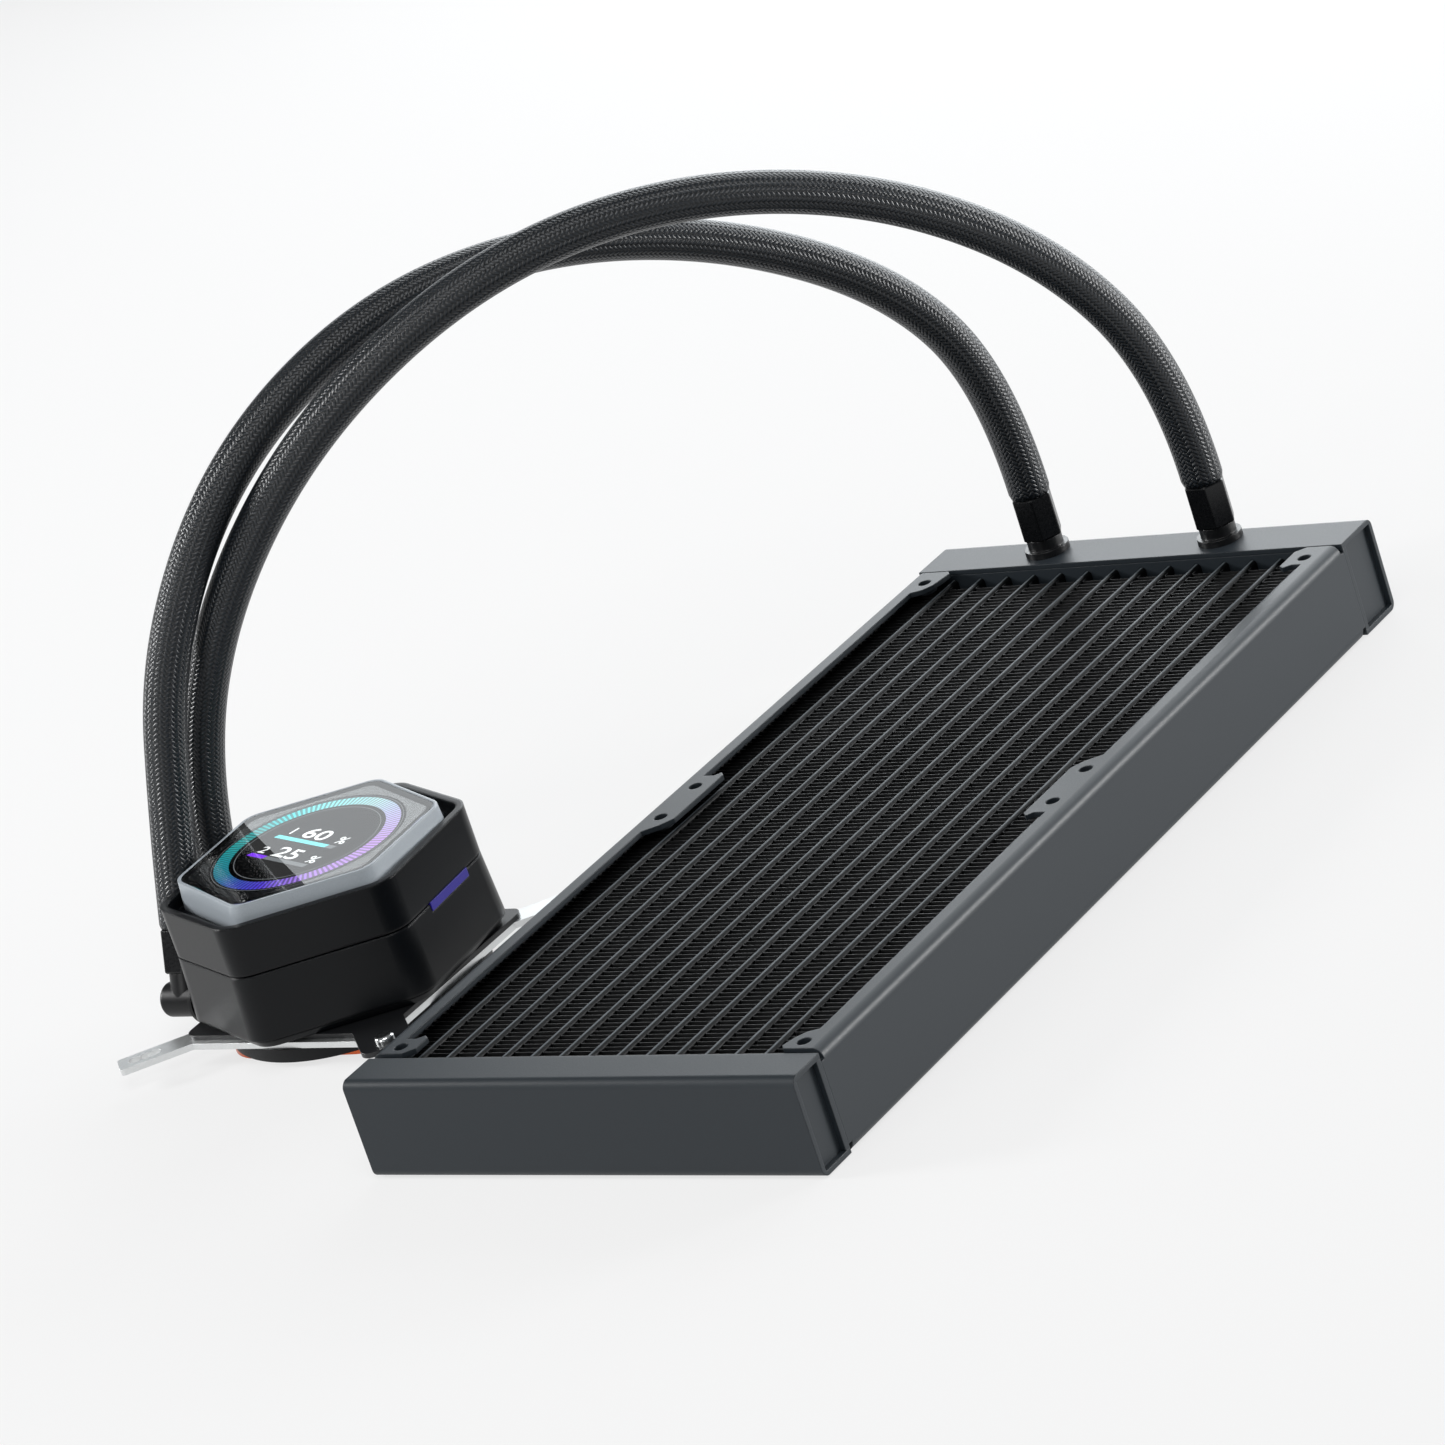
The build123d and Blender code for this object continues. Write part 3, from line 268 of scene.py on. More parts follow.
# Shader building
def add_node(tree, kind, inputs=None, **settings):
    """Adds a node; inputs feeds its sockets with values or other nodes' outputs, settings its options."""
    node = tree.nodes.new(kind)
    for name, value in settings.items():
        setattr(node, name, value)
    for socket, value in (inputs or {}).items():
        if isinstance(value, bpy.types.NodeSocket):
            tree.links.new(value, node.inputs[socket])
        else:
            node.inputs[socket].default_value = value
    return node


def principled(name, sockets):
    """A material of one Principled shader whose constants stand on its own sockets."""
    material = bpy.data.materials.new(name)
    material.use_nodes = True
    tree = material.node_tree
    tree.nodes.clear()
    shader = add_node(tree, "ShaderNodeBsdfPrincipled", sockets)
    add_node(tree, "ShaderNodeOutputMaterial", {"Surface": shader.outputs[0]})
    return material, tree, shader


def shaded(colour, factor):
    """A linear colour made lighter or darker."""
    return (*(min(1.0, part * factor) for part in colour[:3]), 1.0)


def object_place(tree):
    """Output that gives a point's place on the object, in metres."""
    return add_node(tree, "ShaderNodeTexCoord").outputs["Object"]


def object_parts(tree):
    """Outputs that give a point's x, y and z on the object."""
    return add_node(tree, "ShaderNodeSeparateXYZ", {0: object_place(tree)}).outputs


def blended(tree, factor, first, second):
    """Output of a colour between two, by a factor."""
    return add_node(tree, "ShaderNodeMix", {0: factor, 6: first, 7: second}, data_type="RGBA").outputs[2]


def grain(
    tree, shader, colour, size, spread=0.2, roughness=(0.4, 0.5), height=0.0, stretch=(1, 1, 1), edge=0.25
):
    """Noise of one grain size in metres that varies colour, roughness and height.

    Most of the noise lies between 0.3 and 0.7, which spans the roughness given. edge is the radius in
    millimetres to which the shading rounds sharp corners.
    """
    place = object_place(tree)
    scaled = add_node(
        tree, "ShaderNodeMapping", {"Vector": place, "Scale": [way / size for way in stretch]}
    ).outputs[0]
    noise = add_node(tree, "ShaderNodeTexNoise", {"Vector": scaled, "Scale": 1.0, "Detail": 4.0}).outputs[0]
    tone = blended(tree, noise, shaded(colour, 1 - spread), shaded(colour, 1 + spread))
    tree.links.new(tone, shader.inputs["Base Color"])
    gloss = add_node(
        tree, "ShaderNodeMapRange", {0: noise, 1: 0.3, 2: 0.7, 3: roughness[0], 4: roughness[1]}
    )
    tree.links.new(gloss.outputs[0], shader.inputs["Roughness"])
    rounded = add_node(tree, "ShaderNodeBevel", {"Radius": edge * MM}, samples=4).outputs[0]
    if height:
        bumped = {"Height": noise, "Distance": height, "Strength": 1.0, "Normal": rounded}
        rounded = add_node(tree, "ShaderNodeBump", bumped).outputs[0]
    tree.links.new(rounded, shader.inputs["Normal"])


def moulded_plastic(
    name, colour, roughness=(0.38, 0.48), size=0.4 * MM, height=0.004 * MM, edge=0.3, ior=1.5
):
    """Injection-moulded plastic: spark-eroded grain of about 0.4 mm gives an even satin sheen."""
    material, tree, shader = principled(name, {"IOR": ior})
    grain(tree, shader, colour, size, 0.12, roughness, height, edge=edge)
    return material


def bare_metal(name, colour, roughness, size, stretch=(1, 1, 1), height=0.002 * MM, edge=0.15):
    """Metal without paint: its colour lives in the reflection, and stretch draws its grain out."""
    material, tree, shader = principled(name, {"Metallic": 1.0})
    grain(tree, shader, colour, size, 0.1, roughness, height, stretch, edge)
    return material


def powder_coat(settings):
    """Aluminium under satin powder coat: fine orange peel breaks the reflection into a soft gray."""
    material, tree, shader = principled("powder_coated_aluminium", {"IOR": 1.4})
    grain(tree, shader, settings.coat, 0.35 * MM, 0.1, (0.40, 0.48), 0.006 * MM, edge=0.4)
    return material


def painted_tube(settings):
    """Extruded aluminium tube under thin stove paint: black, with a painted highlight, a light line along
    its rounded nose.

    The painted highlight lies where the surface is within PAINTED_HIGHLIGHT_FADE of the nose's highest or
    lowest line, and stands in for the glint of light there.
    """
    material, tree, shader = principled("painted_tube_aluminium", {"IOR": 1.22})
    grain(tree, shader, settings.tube, 0.8 * MM, 0.2, (0.40, 0.50), 0.004 * MM, (1, 0.1, 1), edge=0.2)
    low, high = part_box("coolant_tubes")
    level = object_parts(tree)[2]
    middle = (low[2] + high[2]) / 2
    from_middle = add_node(tree, "ShaderNodeMath", {0: level, 1: middle}, operation="SUBTRACT").outputs[0]
    distance = add_node(tree, "ShaderNodeMath", {0: from_middle}, operation="ABSOLUTE").outputs[0]
    crown = (high[2] - low[2]) / 2
    fade = {0: distance, 1: crown - PAINTED_HIGHLIGHT_FADE[0], 2: crown - PAINTED_HIGHLIGHT_FADE[1], 3: 0.0, 4: 1.0}
    # Painted highlight: the crown colour along the nose stands in for the glint of light there
    painted_highlight = add_node(tree, "ShaderNodeMapRange", fade).outputs[0]
    paint = shader.inputs["Base Color"].links[0].from_socket
    tree.links.new(blended(tree, painted_highlight, paint, tuple(settings.crown)), shader.inputs["Base Color"])
    return material


def painted_fin(settings):
    """Rolled aluminium sheet under the same paint, thinner, so edges stay faintly bright."""
    material, tree, shader = principled("painted_fin_aluminium", {"IOR": 1.45})
    grain(tree, shader, settings.fin, 0.6 * MM, 0.3, (0.42, 0.55), 0.0, (1, 1, 0.2), edge=0.05)
    return material


def braided_nylon(settings):
    """Nylon braid, two bundles over and two under: dashes of light that slant to either hand by columns.

    The UV map counts bundles: u round the hose and v along it. Bundles of one hand have index floor(u + v),
    those of the other floor(u - v), and the sum of both, modulo four, says which hand is on top. A bundle
    is as high as the sine across it times the sine along the stretch where it shows, both flattened.
    """
    material, tree, shader = principled("braided_nylon", {"Roughness": 0.32, "IOR": 1.5})

    def math_node(operation, first, second=0.0):
        return add_node(tree, "ShaderNodeMath", {0: first, 1: second}, operation=operation).outputs[0]

    def mixed(factor, low, high):
        return add_node(tree, "ShaderNodeMix", {0: factor, 2: low, 3: high}, data_type="FLOAT").outputs[0]

    counted = add_node(tree, "ShaderNodeUVMap", uv_map="braid").outputs[0]
    bundles = add_node(tree, "ShaderNodeSeparateXYZ", {0: counted}).outputs
    right_hand = math_node("ADD", bundles[0], bundles[1])
    left_hand = math_node("SUBTRACT", bundles[0], bundles[1])
    right_part = math_node("FRACT", right_hand)
    left_part = math_node("FRACT", left_hand)
    cells = math_node("ADD", math_node("FLOOR", right_hand), math_node("FLOOR", left_hand))
    phase = math_node("FLOORED_MODULO", cells, 4.0)
    right_on_top = math_node("LESS_THAN", phase, 1.5)
    across = mixed(right_on_top, left_part, right_part)
    onward = mixed(right_on_top, right_part, left_part)
    along = math_node("MULTIPLY", math_node("ADD", math_node("FLOORED_MODULO", phase, 2.0), onward), 0.5)
    crown = math_node("SINE", math_node("MULTIPLY", across, math.pi))
    lift = math_node("POWER", math_node("SINE", math_node("MULTIPLY", along, math.pi)), 0.6)
    height = math_node("MULTIPLY", math_node("POWER", crown, 0.7), lift)
    filaments = math_node("SINE", math_node("MULTIPLY", across, BRAID_FILAMENTS * 2 * math.pi))
    relief = math_node("ADD", height, math_node("MULTIPLY", filaments, BRAID_FILAMENT_SHARE))
    # Painted shade: the low gaps between bundles take the shadow colour, their raised tops the thread colour
    tone = blended(tree, height, tuple(settings.shadow), tuple(settings.thread))
    tree.links.new(tone, shader.inputs["Base Color"])
    bump = add_node(tree, "ShaderNodeBump", {"Height": relief, "Distance": BRAID_RELIEF, "Strength": 1.0})
    tree.links.new(bump.outputs[0], shader.inputs["Normal"])
    return material


def cover_glass():
    """Clear cover glass with an optical polish: dark until a lamp lies in its mirror direction.

    Its tint drifts very slightly in patches of about 7 mm.
    """
    material, tree, shader = principled(
        "cover_glass", {"Roughness": 0.0, "IOR": 1.52, "Transmission Weight": 1.0}
    )
    patches = {"Vector": object_place(tree), "Scale": 140.0, "Detail": 3.0}
    haze = add_node(tree, "ShaderNodeTexNoise", patches).outputs[0]
    tree.links.new(blended(tree, haze, linear("#F4F8F8"), linear("#F6F9F9")), shader.inputs["Base Color"])
    return material


def display_light(name, glow):
    """Acrylic layer with lit pixels behind it; what is linked to Emission Color gives their colour."""
    return principled(name, {"Base Color": linear("#050506"), "Roughness": 0.3, "Emission Strength": glow})


def lit_layer(name, colour, glow):
    """Lit pixels of the display: diagonal rows dim the colour a little.

    Real rows lie about 0.12 mm apart, too fine to show here, so these lie about 0.54 mm apart.
    """
    material, tree, shader = display_light(name, glow)
    rows = {"Vector": object_place(tree), "Scale": 830.0}
    cells = add_node(tree, "ShaderNodeTexWave", rows, bands_direction="DIAGONAL").outputs["Fac"]
    tone = blended(tree, cells, shaded(colour, 0.85), tuple(colour))
    tree.links.new(tone, shader.inputs["Emission Color"])
    return material


def ring_light(glow):
    """Lit ring: colour runs round from teal over violet and pale cyan, cut by fine radial ticks.

    Between two ticks the light falls to about a third.
    """
    material, tree, shader = display_light("ring_light", glow)
    place = object_parts(tree)
    angle = add_node(tree, "ShaderNodeMath", {0: place[1], 1: place[0]}, operation="ARCTAN2").outputs[0]
    whole_turn = {0: angle, 1: -math.pi, 2: math.pi, 3: 0.0, 4: 1.0}
    turn = add_node(tree, "ShaderNodeMapRange", whole_turn).outputs[0]
    ramp = add_node(tree, "ShaderNodeValToRGB", {0: turn})
    stops = [
        (0.00, "#1E9C9C"), (0.13, "#1F7F96"), (0.20, "#3449B4"), (0.26, "#4A36CC"), (0.36, "#A679D8"),
        (0.50, "#B98BDC"), (0.62, "#B4B4E2"), (0.70, "#A8D6DA"), (0.80, "#7FDDE0"), (0.88, "#2CCFD3"),
        (0.96, "#1E9C9C"),
    ]
    elements = ramp.color_ramp.elements
    for position, colour in stops[1:-1]:
        elements.new(position).color = linear(colour)
    elements[0].color = linear(stops[0][1])
    elements[len(stops) - 1].position = stops[-1][0]
    elements[len(stops) - 1].color = linear(stops[-1][1])
    ticks = add_node(tree, "ShaderNodeMath", {0: angle, 1: RING_TICKS}, operation="MULTIPLY").outputs[0]
    wave = add_node(tree, "ShaderNodeMath", {0: ticks}, operation="SINE").outputs[0]
    cut = add_node(tree, "ShaderNodeMapRange", {0: wave, 1: -0.4, 2: 0.4, 3: 0.35, 4: 1.0}).outputs[0]
    tone = add_node(tree, "ShaderNodeVectorMath", {0: ramp.outputs[0], 3: cut}, operation="SCALE")
    tree.links.new(tone.outputs[0], shader.inputs["Emission Color"])
    return material


def diffuser(settings):
    """Light window: milky polycarbonate lit from behind, so that it glows evenly in its own colour."""
    material, tree, shader = principled(
        "lit_polycarbonate", {"Roughness": 0.35, "IOR": 1.4, "Emission Strength": 0.18}
    )
    grain(tree, shader, settings.window, 0.5 * MM, 0.15, (0.3, 0.4), 0.0, edge=0.2)
    tree.links.new(shader.inputs["Base Color"].links[0].from_socket, shader.inputs["Emission Color"])
    return material


# Mesh building
def grid_faces(rows, columns, wrap_rows=False, wrap_columns=False):
    """Quads between neighbouring points of a grid; wrapping joins its last row or column to its first."""
    row = np.arange(rows if wrap_rows else rows - 1)
    column = np.arange(columns if wrap_columns else columns - 1)
    row, column = np.meshgrid(row, column, indexing="ij")
    next_row = (row + 1) % rows
    next_column = (column + 1) % columns
    corners = (
        row * columns + column,
        row * columns + next_column,
        next_row * columns + next_column,
        next_row * columns + column,
    )
    return np.stack(corners, axis=-1).reshape(-1, 4)


def add_piece(name, points, faces, material, smooth=True):
    """Puts a mesh into the scene, in the row frame."""
    mesh = bpy.data.meshes.new(name)
    mesh.from_pydata(points.reshape(-1, 3).tolist(), [], faces)
    mesh.materials.append(material)
    mesh.polygons.foreach_set("use_smooth", np.full(len(mesh.polygons), smooth))
    piece = bpy.data.objects.new(name, mesh)
    bpy.context.scene.collection.objects.link(piece)
    return piece


def dress(material, *names):
    """Gives CAD nodes a material."""
    for name in names:
        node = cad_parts[name]
        if not node.material_slots:
            node.data.materials.append(material)
        for slot in node.material_slots:
            slot.material = material


class CoolerOperator:
    """What the cooler's operators share."""

    bl_options = {"REGISTER", "UNDO"}


# Radiator
class COOLER_OT_radiator(CoolerOperator, bpy.types.Operator):
    """Coats the tanks, their caps and headers, and the side rails"""

    bl_idname = "cooler.radiator"
    bl_label = "Radiator"

    def execute(self, context):
        coat = powder_coat(context.scene.cooler_radiator)
        dress(coat, "return_tank", "port_tank", "return_tank_end_caps", "port_tank_end_caps")
        dress(coat, "return_header", "port_header", "tank_baffle", "left_rail", "right_rail")
        return {"FINISHED"}


def folded_strip(middle, width, start, runs, pitch, crest, low, high):
    """Sheet folded to and fro across a strip.

    Each run crosses the strip at one y, then turns a quarter arc, follows the tube for the rest of the
    pitch and turns back; every second run is the mirror image of the first. The line is carried from low
    to high.
    """
    reach = width / 2
    turned = crest * (1 - math.sqrt(0.5))
    run = np.array([
        (crest - reach, 0.0),
        (0.0, 0.0),
        (reach - crest, 0.0),
        (reach - turned, turned),
        (reach, crest),
        (reach, pitch - crest),
        (reach - turned, pitch - turned),
    ])
    sides = np.where(np.arange(runs) % 2, -1.0, 1.0)
    line = np.empty((runs, len(run), 2))
    line[..., 0] = middle + run[:, 0] * sides[:, None]
    line[..., 1] = start + run[:, 1] + pitch * np.arange(runs)[:, None]
    line = line.reshape(-1, 2)
    levels = np.array([low, high])
    points = np.empty((len(line), 2, 3))
    points[..., :2] = line[:, None, :]
    points[..., 2] = levels
    return points


class COOLER_OT_core(CoolerOperator, bpy.types.Operator):
    """Paints the flat tubes and folds the fine fins between them"""

    bl_idname = "cooler.core"
    bl_label = "Core"

    def execute(self, context):
        settings = context.scene.cooler_radiator
        dress(painted_tube(settings), "coolant_tubes")
        tubes_low, tubes_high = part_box("coolant_tubes")
        fins_low, fins_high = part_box("fin_strips")
        pitch = (tubes_high[0] - tubes_low[0] - TUBE_THICKNESS) / (TUBE_COUNT - 1)
        tube_lefts = tubes_low[0] + pitch * np.arange(TUBE_COUNT)
        lefts = np.concatenate([[fins_low[0]], tube_lefts + TUBE_THICKNESS])
        rights = np.concatenate([tube_lefts, [fins_high[0]]])
        sheet = settings.fin_sheet
        # The sheet's middle line stays this far off the tubes, and its pitch is evened out over the length
        margin = 0.75 * sheet
        length = fins_high[1] - fins_low[1] - sheet
        runs = int(length / settings.fin_pitch)
        even_pitch = length / (runs + 0.5)
        strips = [
            folded_strip(
                (left + right) / 2,
                right - left - 2 * margin,
                fins_low[1] + sheet,
                runs,
                even_pitch,
                settings.fin_crest,
                fins_low[2],
                fins_high[2],
            )
            for left, right in zip(lefts, rights)
        ]
        rows = len(strips[0])
        faces = np.concatenate([grid_faces(rows, 2) + strip * 2 * rows for strip in range(len(strips))])
        paint = painted_fin(settings)
        fins = add_piece("folded_fins", np.concatenate(strips), faces.tolist(), paint, smooth=False)
        solid = fins.modifiers.new("sheet", "SOLIDIFY")
        solid.thickness = sheet
        solid.offset = 0.0
        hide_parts("fin_strips")
        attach(fins, "cooler")
        return {"FINISHED"}


# Hoses
def spline_points(name, route):
    """Points along the smooth line that a route's points control."""
    curve = bpy.data.curves.new(name, "CURVE")
    curve.dimensions = "3D"
    curve.resolution_u = 40
    spline = curve.splines.new("NURBS")
    spline.points.add(len(route) - 1)
    spline.points.foreach_set("co", np.column_stack([route, np.ones(len(route))]).ravel())
    spline.order_u = 3
    spline.use_endpoint_u = True
    carrier = bpy.data.objects.new(name, curve)
    bpy.context.scene.collection.objects.link(carrier)
    line = bpy.data.meshes.new_from_object(carrier)
    points = np.empty(3 * len(line.vertices))
    line.vertices.foreach_get("co", points)
    bpy.data.objects.remove(carrier)
    bpy.data.curves.remove(curve)
    bpy.data.meshes.remove(line)
    return points.reshape(-1, 3)


def hose_surface(path, radius, sides):
    """Tube round a path: centre plus radius times (cos a * side + sin a * up), for a grid of a by length.

    The side vector is the normal of the plane through the path's ends and middle, made square to the
    path at each point. The radius shrinks at the two ends, where the braid is gathered. The last column
    of the grid repeats the first, one whole turn on.
    """
    tangent = np.gradient(path, axis=0)
    tangent /= np.linalg.norm(tangent, axis=1, keepdims=True)
    plane = np.cross(path[-1] - path[0], path[len(path) // 2] - path[0])
    side = plane - tangent * (tangent @ plane)[:, None]
    side /= np.linalg.norm(side, axis=1, keepdims=True)
    up = np.cross(tangent, side)
    angle = np.linspace(0, 2 * math.pi, sides + 1)[None, :, None]
    girth = np.full(len(path), radius)
    girth[[0, -1]] *= HOSE_END_SHARE
    ring = np.cos(angle) * side[:, None, :] + np.sin(angle) * up[:, None, :]
    return path[:, None, :] + girth[:, None, None] * ring


def add_hose(name, route, material, settings):
    """A braided hose with its counting UV map: bundles round the hose by bundles along it."""
    path = spline_points(name + "_line", route)
    sides = HOSE_SIDES
    points = hose_surface(path, HOSE_RADIUS, sides)
    rows, columns = points.shape[:2]
    faces = grid_faces(rows, sides, wrap_columns=True)
    last_ring = (rows - 1) * sides
    caps = [list(range(sides))[::-1], list(range(last_ring, last_ring + sides))]
    hose = add_piece(name + "_sleeve", points[:, :-1], faces.tolist() + caps, material)
    lengths = np.concatenate([[0], np.cumsum(np.linalg.norm(np.diff(path, axis=0), axis=1))])
    row, column = np.divmod(np.arange(rows * columns), columns)
    count = np.stack([column / sides * settings.tows, lengths[row] / settings.tow_pitch], axis=1)
    corners = grid_faces(rows, columns).reshape(-1)
    last_row = (rows - 1) * columns
    cap_counts = np.concatenate([count[:sides][::-1], count[last_row:last_row + sides]])
    layer = hose.data.uv_layers.new(name="braid")
    layer.data.foreach_set("uv", np.concatenate([count[corners], cap_counts]).ravel())
    return hose, path


class COOLER_OT_hoses(CoolerOperator, bpy.types.Operator):
    """Lays the two braided hoses from the radiator's necks to the pump's elbows"""

    bl_idname = "cooler.hoses"
    bl_label = "Hoses"

    def execute(self, context):
        settings = context.scene.cooler_hoses
        braid = braided_nylon(settings)
        for name, route in HOSE_ROUTES.items():
            hose, path = add_hose(name, np.array(route), braid, settings)
            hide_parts(name)
            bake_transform(hose)
        return {"FINISHED"}


class COOLER_OT_fittings(CoolerOperator, bpy.types.Operator):
    """Finishes the necks, ferrules, elbows and seals"""

    bl_idname = "cooler.fittings"
    bl_label = "Fittings"

    def execute(self, context):
        colour = context.scene.cooler_hoses.fitting
        sleeve = moulded_plastic("heat_formed_sleeve", colour, (0.24, 0.34), 0.6 * MM, 0.003 * MM, ior=1.4)
        dress(sleeve, "ferrule_left", "ferrule_right", "elbow_ferrule_front", "elbow_ferrule_rear")
        nylon = moulded_plastic("glass_filled_nylon", colour, (0.34, 0.46), ior=1.36)
        dress(nylon, "elbow_front", "elbow_rear")
        dress(moulded_plastic("painted_brass", colour, (0.3, 0.4), 0.8 * MM), "neck_left", "neck_right")
        rubber = moulded_plastic("seal_rubber", linear("#0C0C0D"), (0.6, 0.75), 0.3 * MM)
        dress(rubber, "elbow_seal_front", "elbow_seal_rear", "plate_gasket")
        return {"FINISHED"}


# Pump head
class COOLER_OT_housing(CoolerOperator, bpy.types.Operator):
    """Finishes the shells, the skirt, the bezel and the light window"""

    bl_idname = "cooler.housing"
    bl_label = "Housing"

    def execute(self, context):
        settings = context.scene.cooler_pump
        shell = moulded_plastic(
            "moulded_shell_plastic", settings.shell, (0.28, 0.34), 0.35 * MM, edge=0.8, ior=1.3
        )
        dress(shell, "upper_shell", "lower_shell", "base_skirt")
        bezel = moulded_plastic("painted_bezel_plastic", settings.bezel, (0.32, 0.40), 0.3 * MM, edge=0.7)
        dress(bezel, "bezel")
        dress(diffuser(settings), "light_window")
        return {"FINISHED"}


def slab(name, outline, low, high, material):
    """A flat shape with a closed outline, between two heights."""
    count = len(outline)
    points = np.empty((2, count, 3))
    points[..., :2] = outline
    points[0, :, 2] = low
    points[1, :, 2] = high
    sides = grid_faces(2, count, wrap_columns=True).tolist()
    caps = [list(range(count))[::-1], list(range(count, 2 * count))]
    return add_piece(name, points, sides + caps, material, smooth=False)


def flat_ring(name, inner, outer, low, high, material, steps=RING_STEPS):
    """A flat ring on the pump's axis: a rectangle carried round it.

    The inner and outer radius are each one number, or one number for each step of the turn.
    """
    angle = np.linspace(0, 2 * math.pi, steps, endpoint=False)[:, None]
    radii = np.stack([np.broadcast_to(radius, steps) for radius in (inner, outer, outer, inner)], axis=1)
    points = np.empty((steps, 4, 3))
    points[..., 0] = np.cos(angle) * radii
    points[..., 1] = np.sin(angle) * radii
    points[..., 2] = np.array([low, low, high, high])
    return add_piece(name, points, grid_faces(steps, 4, True, True).tolist(), material, smooth=False)


def glass_border(material, low, high):
    """Printed border under the glass: from the panel's edge out to the glass's hexagon with blunt corners.

    Seen from above, a side of the hexagon lies at its middle distance over the cosine of the turn from the
    side's middle.
    """
    angle = np.linspace(0, 2 * math.pi, BORDER_STEPS, endpoint=False)
    turn = (angle - BEZEL_YAW + math.pi / 6) % (math.pi / 3) - math.pi / 6
    outer = np.minimum(BORDER_REACH / np.cos(turn), BORDER_CORNER)
    return flat_ring("glass_border", BORDER_OPENING, outer, low, high, material, BORDER_STEPS)


def bar_outline(start, end, width, lean):
    """Long parallelogram from start to end whose short ends lean."""
    start, end = np.array(start), np.array(end)
    along = (end - start) / np.linalg.norm(end - start)
    across = np.array([-along[1], along[0]]) * width / 2
    slant = along * lean
    return np.array([start - across, end - across, end + across + slant, start + across + slant])


def lettering(name, text, place, height, stretch, low, material):
    """Figures of the built-in typeface, made a mesh and laid flat at a place, a little bolder than usual."""
    curve = bpy.data.curves.new(name, "FONT")
    curve.body = text
    curve.size = 1.0
    curve.offset = LETTER_BOLDNESS
    curve.extrude = 0.5 * DISPLAY_DEPTH / height
    carrier = bpy.data.objects.new(name, curve)
    bpy.context.scene.collection.objects.link(carrier)
    mesh = bpy.data.meshes.new_from_object(carrier)
    bpy.data.objects.remove(carrier)
    cap_height = 0.7
    size = height / cap_height
    mesh.transform(
        Matrix.Translation((*place, low + DISPLAY_DEPTH / 2))
        @ Matrix.Rotation(DISPLAY_TURN, 4, "Z")
        @ Matrix.Diagonal((size * stretch, size, height, 1))
    )
    mesh.materials.clear()
    mesh.materials.append(material)
    piece = bpy.data.objects.new(name, mesh)
    bpy.context.scene.collection.objects.link(piece)
    return piece


class COOLER_OT_display(CoolerOperator, bpy.types.Operator):
    """Builds the lit ring, bars and figures of the display and finishes its glass"""

    bl_idname = "cooler.display"
    bl_label = "Display"

    def execute(self, context):
        settings = context.scene.cooler_display
        glow = settings.glow
        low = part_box("display_panel")[1][2] + DISPLAY_GAP
        high = low + DISPLAY_DEPTH
        figures = lit_layer("lit_figures", settings.figures, glow)
        rest = lit_layer("lit_rest", settings.rest, glow)
        made = [
            flat_ring("display_ring", *RING_RADII, low, high, ring_light(glow)),
            flat_ring("display_inner_line", *INNER_LINE_RADII, low, high, rest),
            flat_ring("display_outer_line", *OUTER_LINE_RADII, low, high, rest),
        ]
        for label, readout in READOUTS.items():
            value_at, percent_at, channel_at, start, end = (
                np.array(readout[key]) * MM
                for key in ("value_at", "percent_at", "channel_at", "bar_from", "bar_to")
            )
            value = getattr(settings, f"{label}_value")
            channel = readout["channel"]
            light = lit_layer(f"lit_{label}_bar", getattr(settings, f"{label}_bar"), glow)
            filled = start + (end - start) * readout["lit_share"]
            made += [
                slab(f"{label}_bar", bar_outline(start, filled, BAR_WIDTH, BAR_LEAN), low, high, light),
                slab(f"{label}_bar_rest", bar_outline(filled, end, BAR_WIDTH, BAR_LEAN), low, high, rest),
                lettering(f"{label}_value", value, value_at, *VALUE_LETTERS, low, figures),
                lettering(f"{label}_percent", "%", percent_at, *PERCENT_LETTERS, low, figures),
                lettering(f"{label}_channel", channel, channel_at, *CHANNEL_LETTERS, low, figures),
            ]
        ink = moulded_plastic("screen_print_ink", linear("#030304"), (0.55, 0.65), 0.8 * MM, 0.0, ior=1.15)
        made.append(glass_border(ink, low - BORDER_DEPTHS[1], low - BORDER_DEPTHS[0]))
        for piece in made:
            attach(piece, "cooler")
        dress(cover_glass(), "screen_glass")
        panel = moulded_plastic("display_film", linear("#050606"), (0.55, 0.65), 0.8 * MM, 0.0, ior=1.15)
        dress(panel, "display_panel")
        dress(moulded_plastic("carrier_plastic", linear("#040405"), (0.5, 0.6)), "display_carrier")
        return {"FINISHED"}


class COOLER_OT_mounting(CoolerOperator, bpy.types.Operator):
    """Finishes the bracket, the clamp frame, the screws, the base ring and the cold plate"""

    bl_idname = "cooler.mounting"
    bl_label = "Mounting"

    def execute(self, context):
        settings = context.scene.cooler_pump
        plated = bare_metal("zinc_plated_steel", settings.plating, (0.38, 0.48), 0.5 * MM, (1, 0.25, 1))
        dress(plated, "mounting_bracket")
        screw = bare_metal("zinc_plated_screw", settings.plating, (0.14, 0.22), 0.3 * MM)
        dress(screw, "clamp_screws", "plate_screws", "board_screws")
        coated = moulded_plastic("coated_steel", linear("#141517"), (0.36, 0.44), 0.3 * MM)
        dress(coated, "clamp_frame")
        dress(moulded_plastic("base_plastic", linear("#0C0D0F"), (0.42, 0.52), ior=1.3), "base_ring")
        copper = bare_metal("machined_copper", settings.copper, (0.22, 0.34), 0.4 * MM, (0.2, 1, 1))
        dress(copper, "cold_plate")
        return {"FINISHED"}


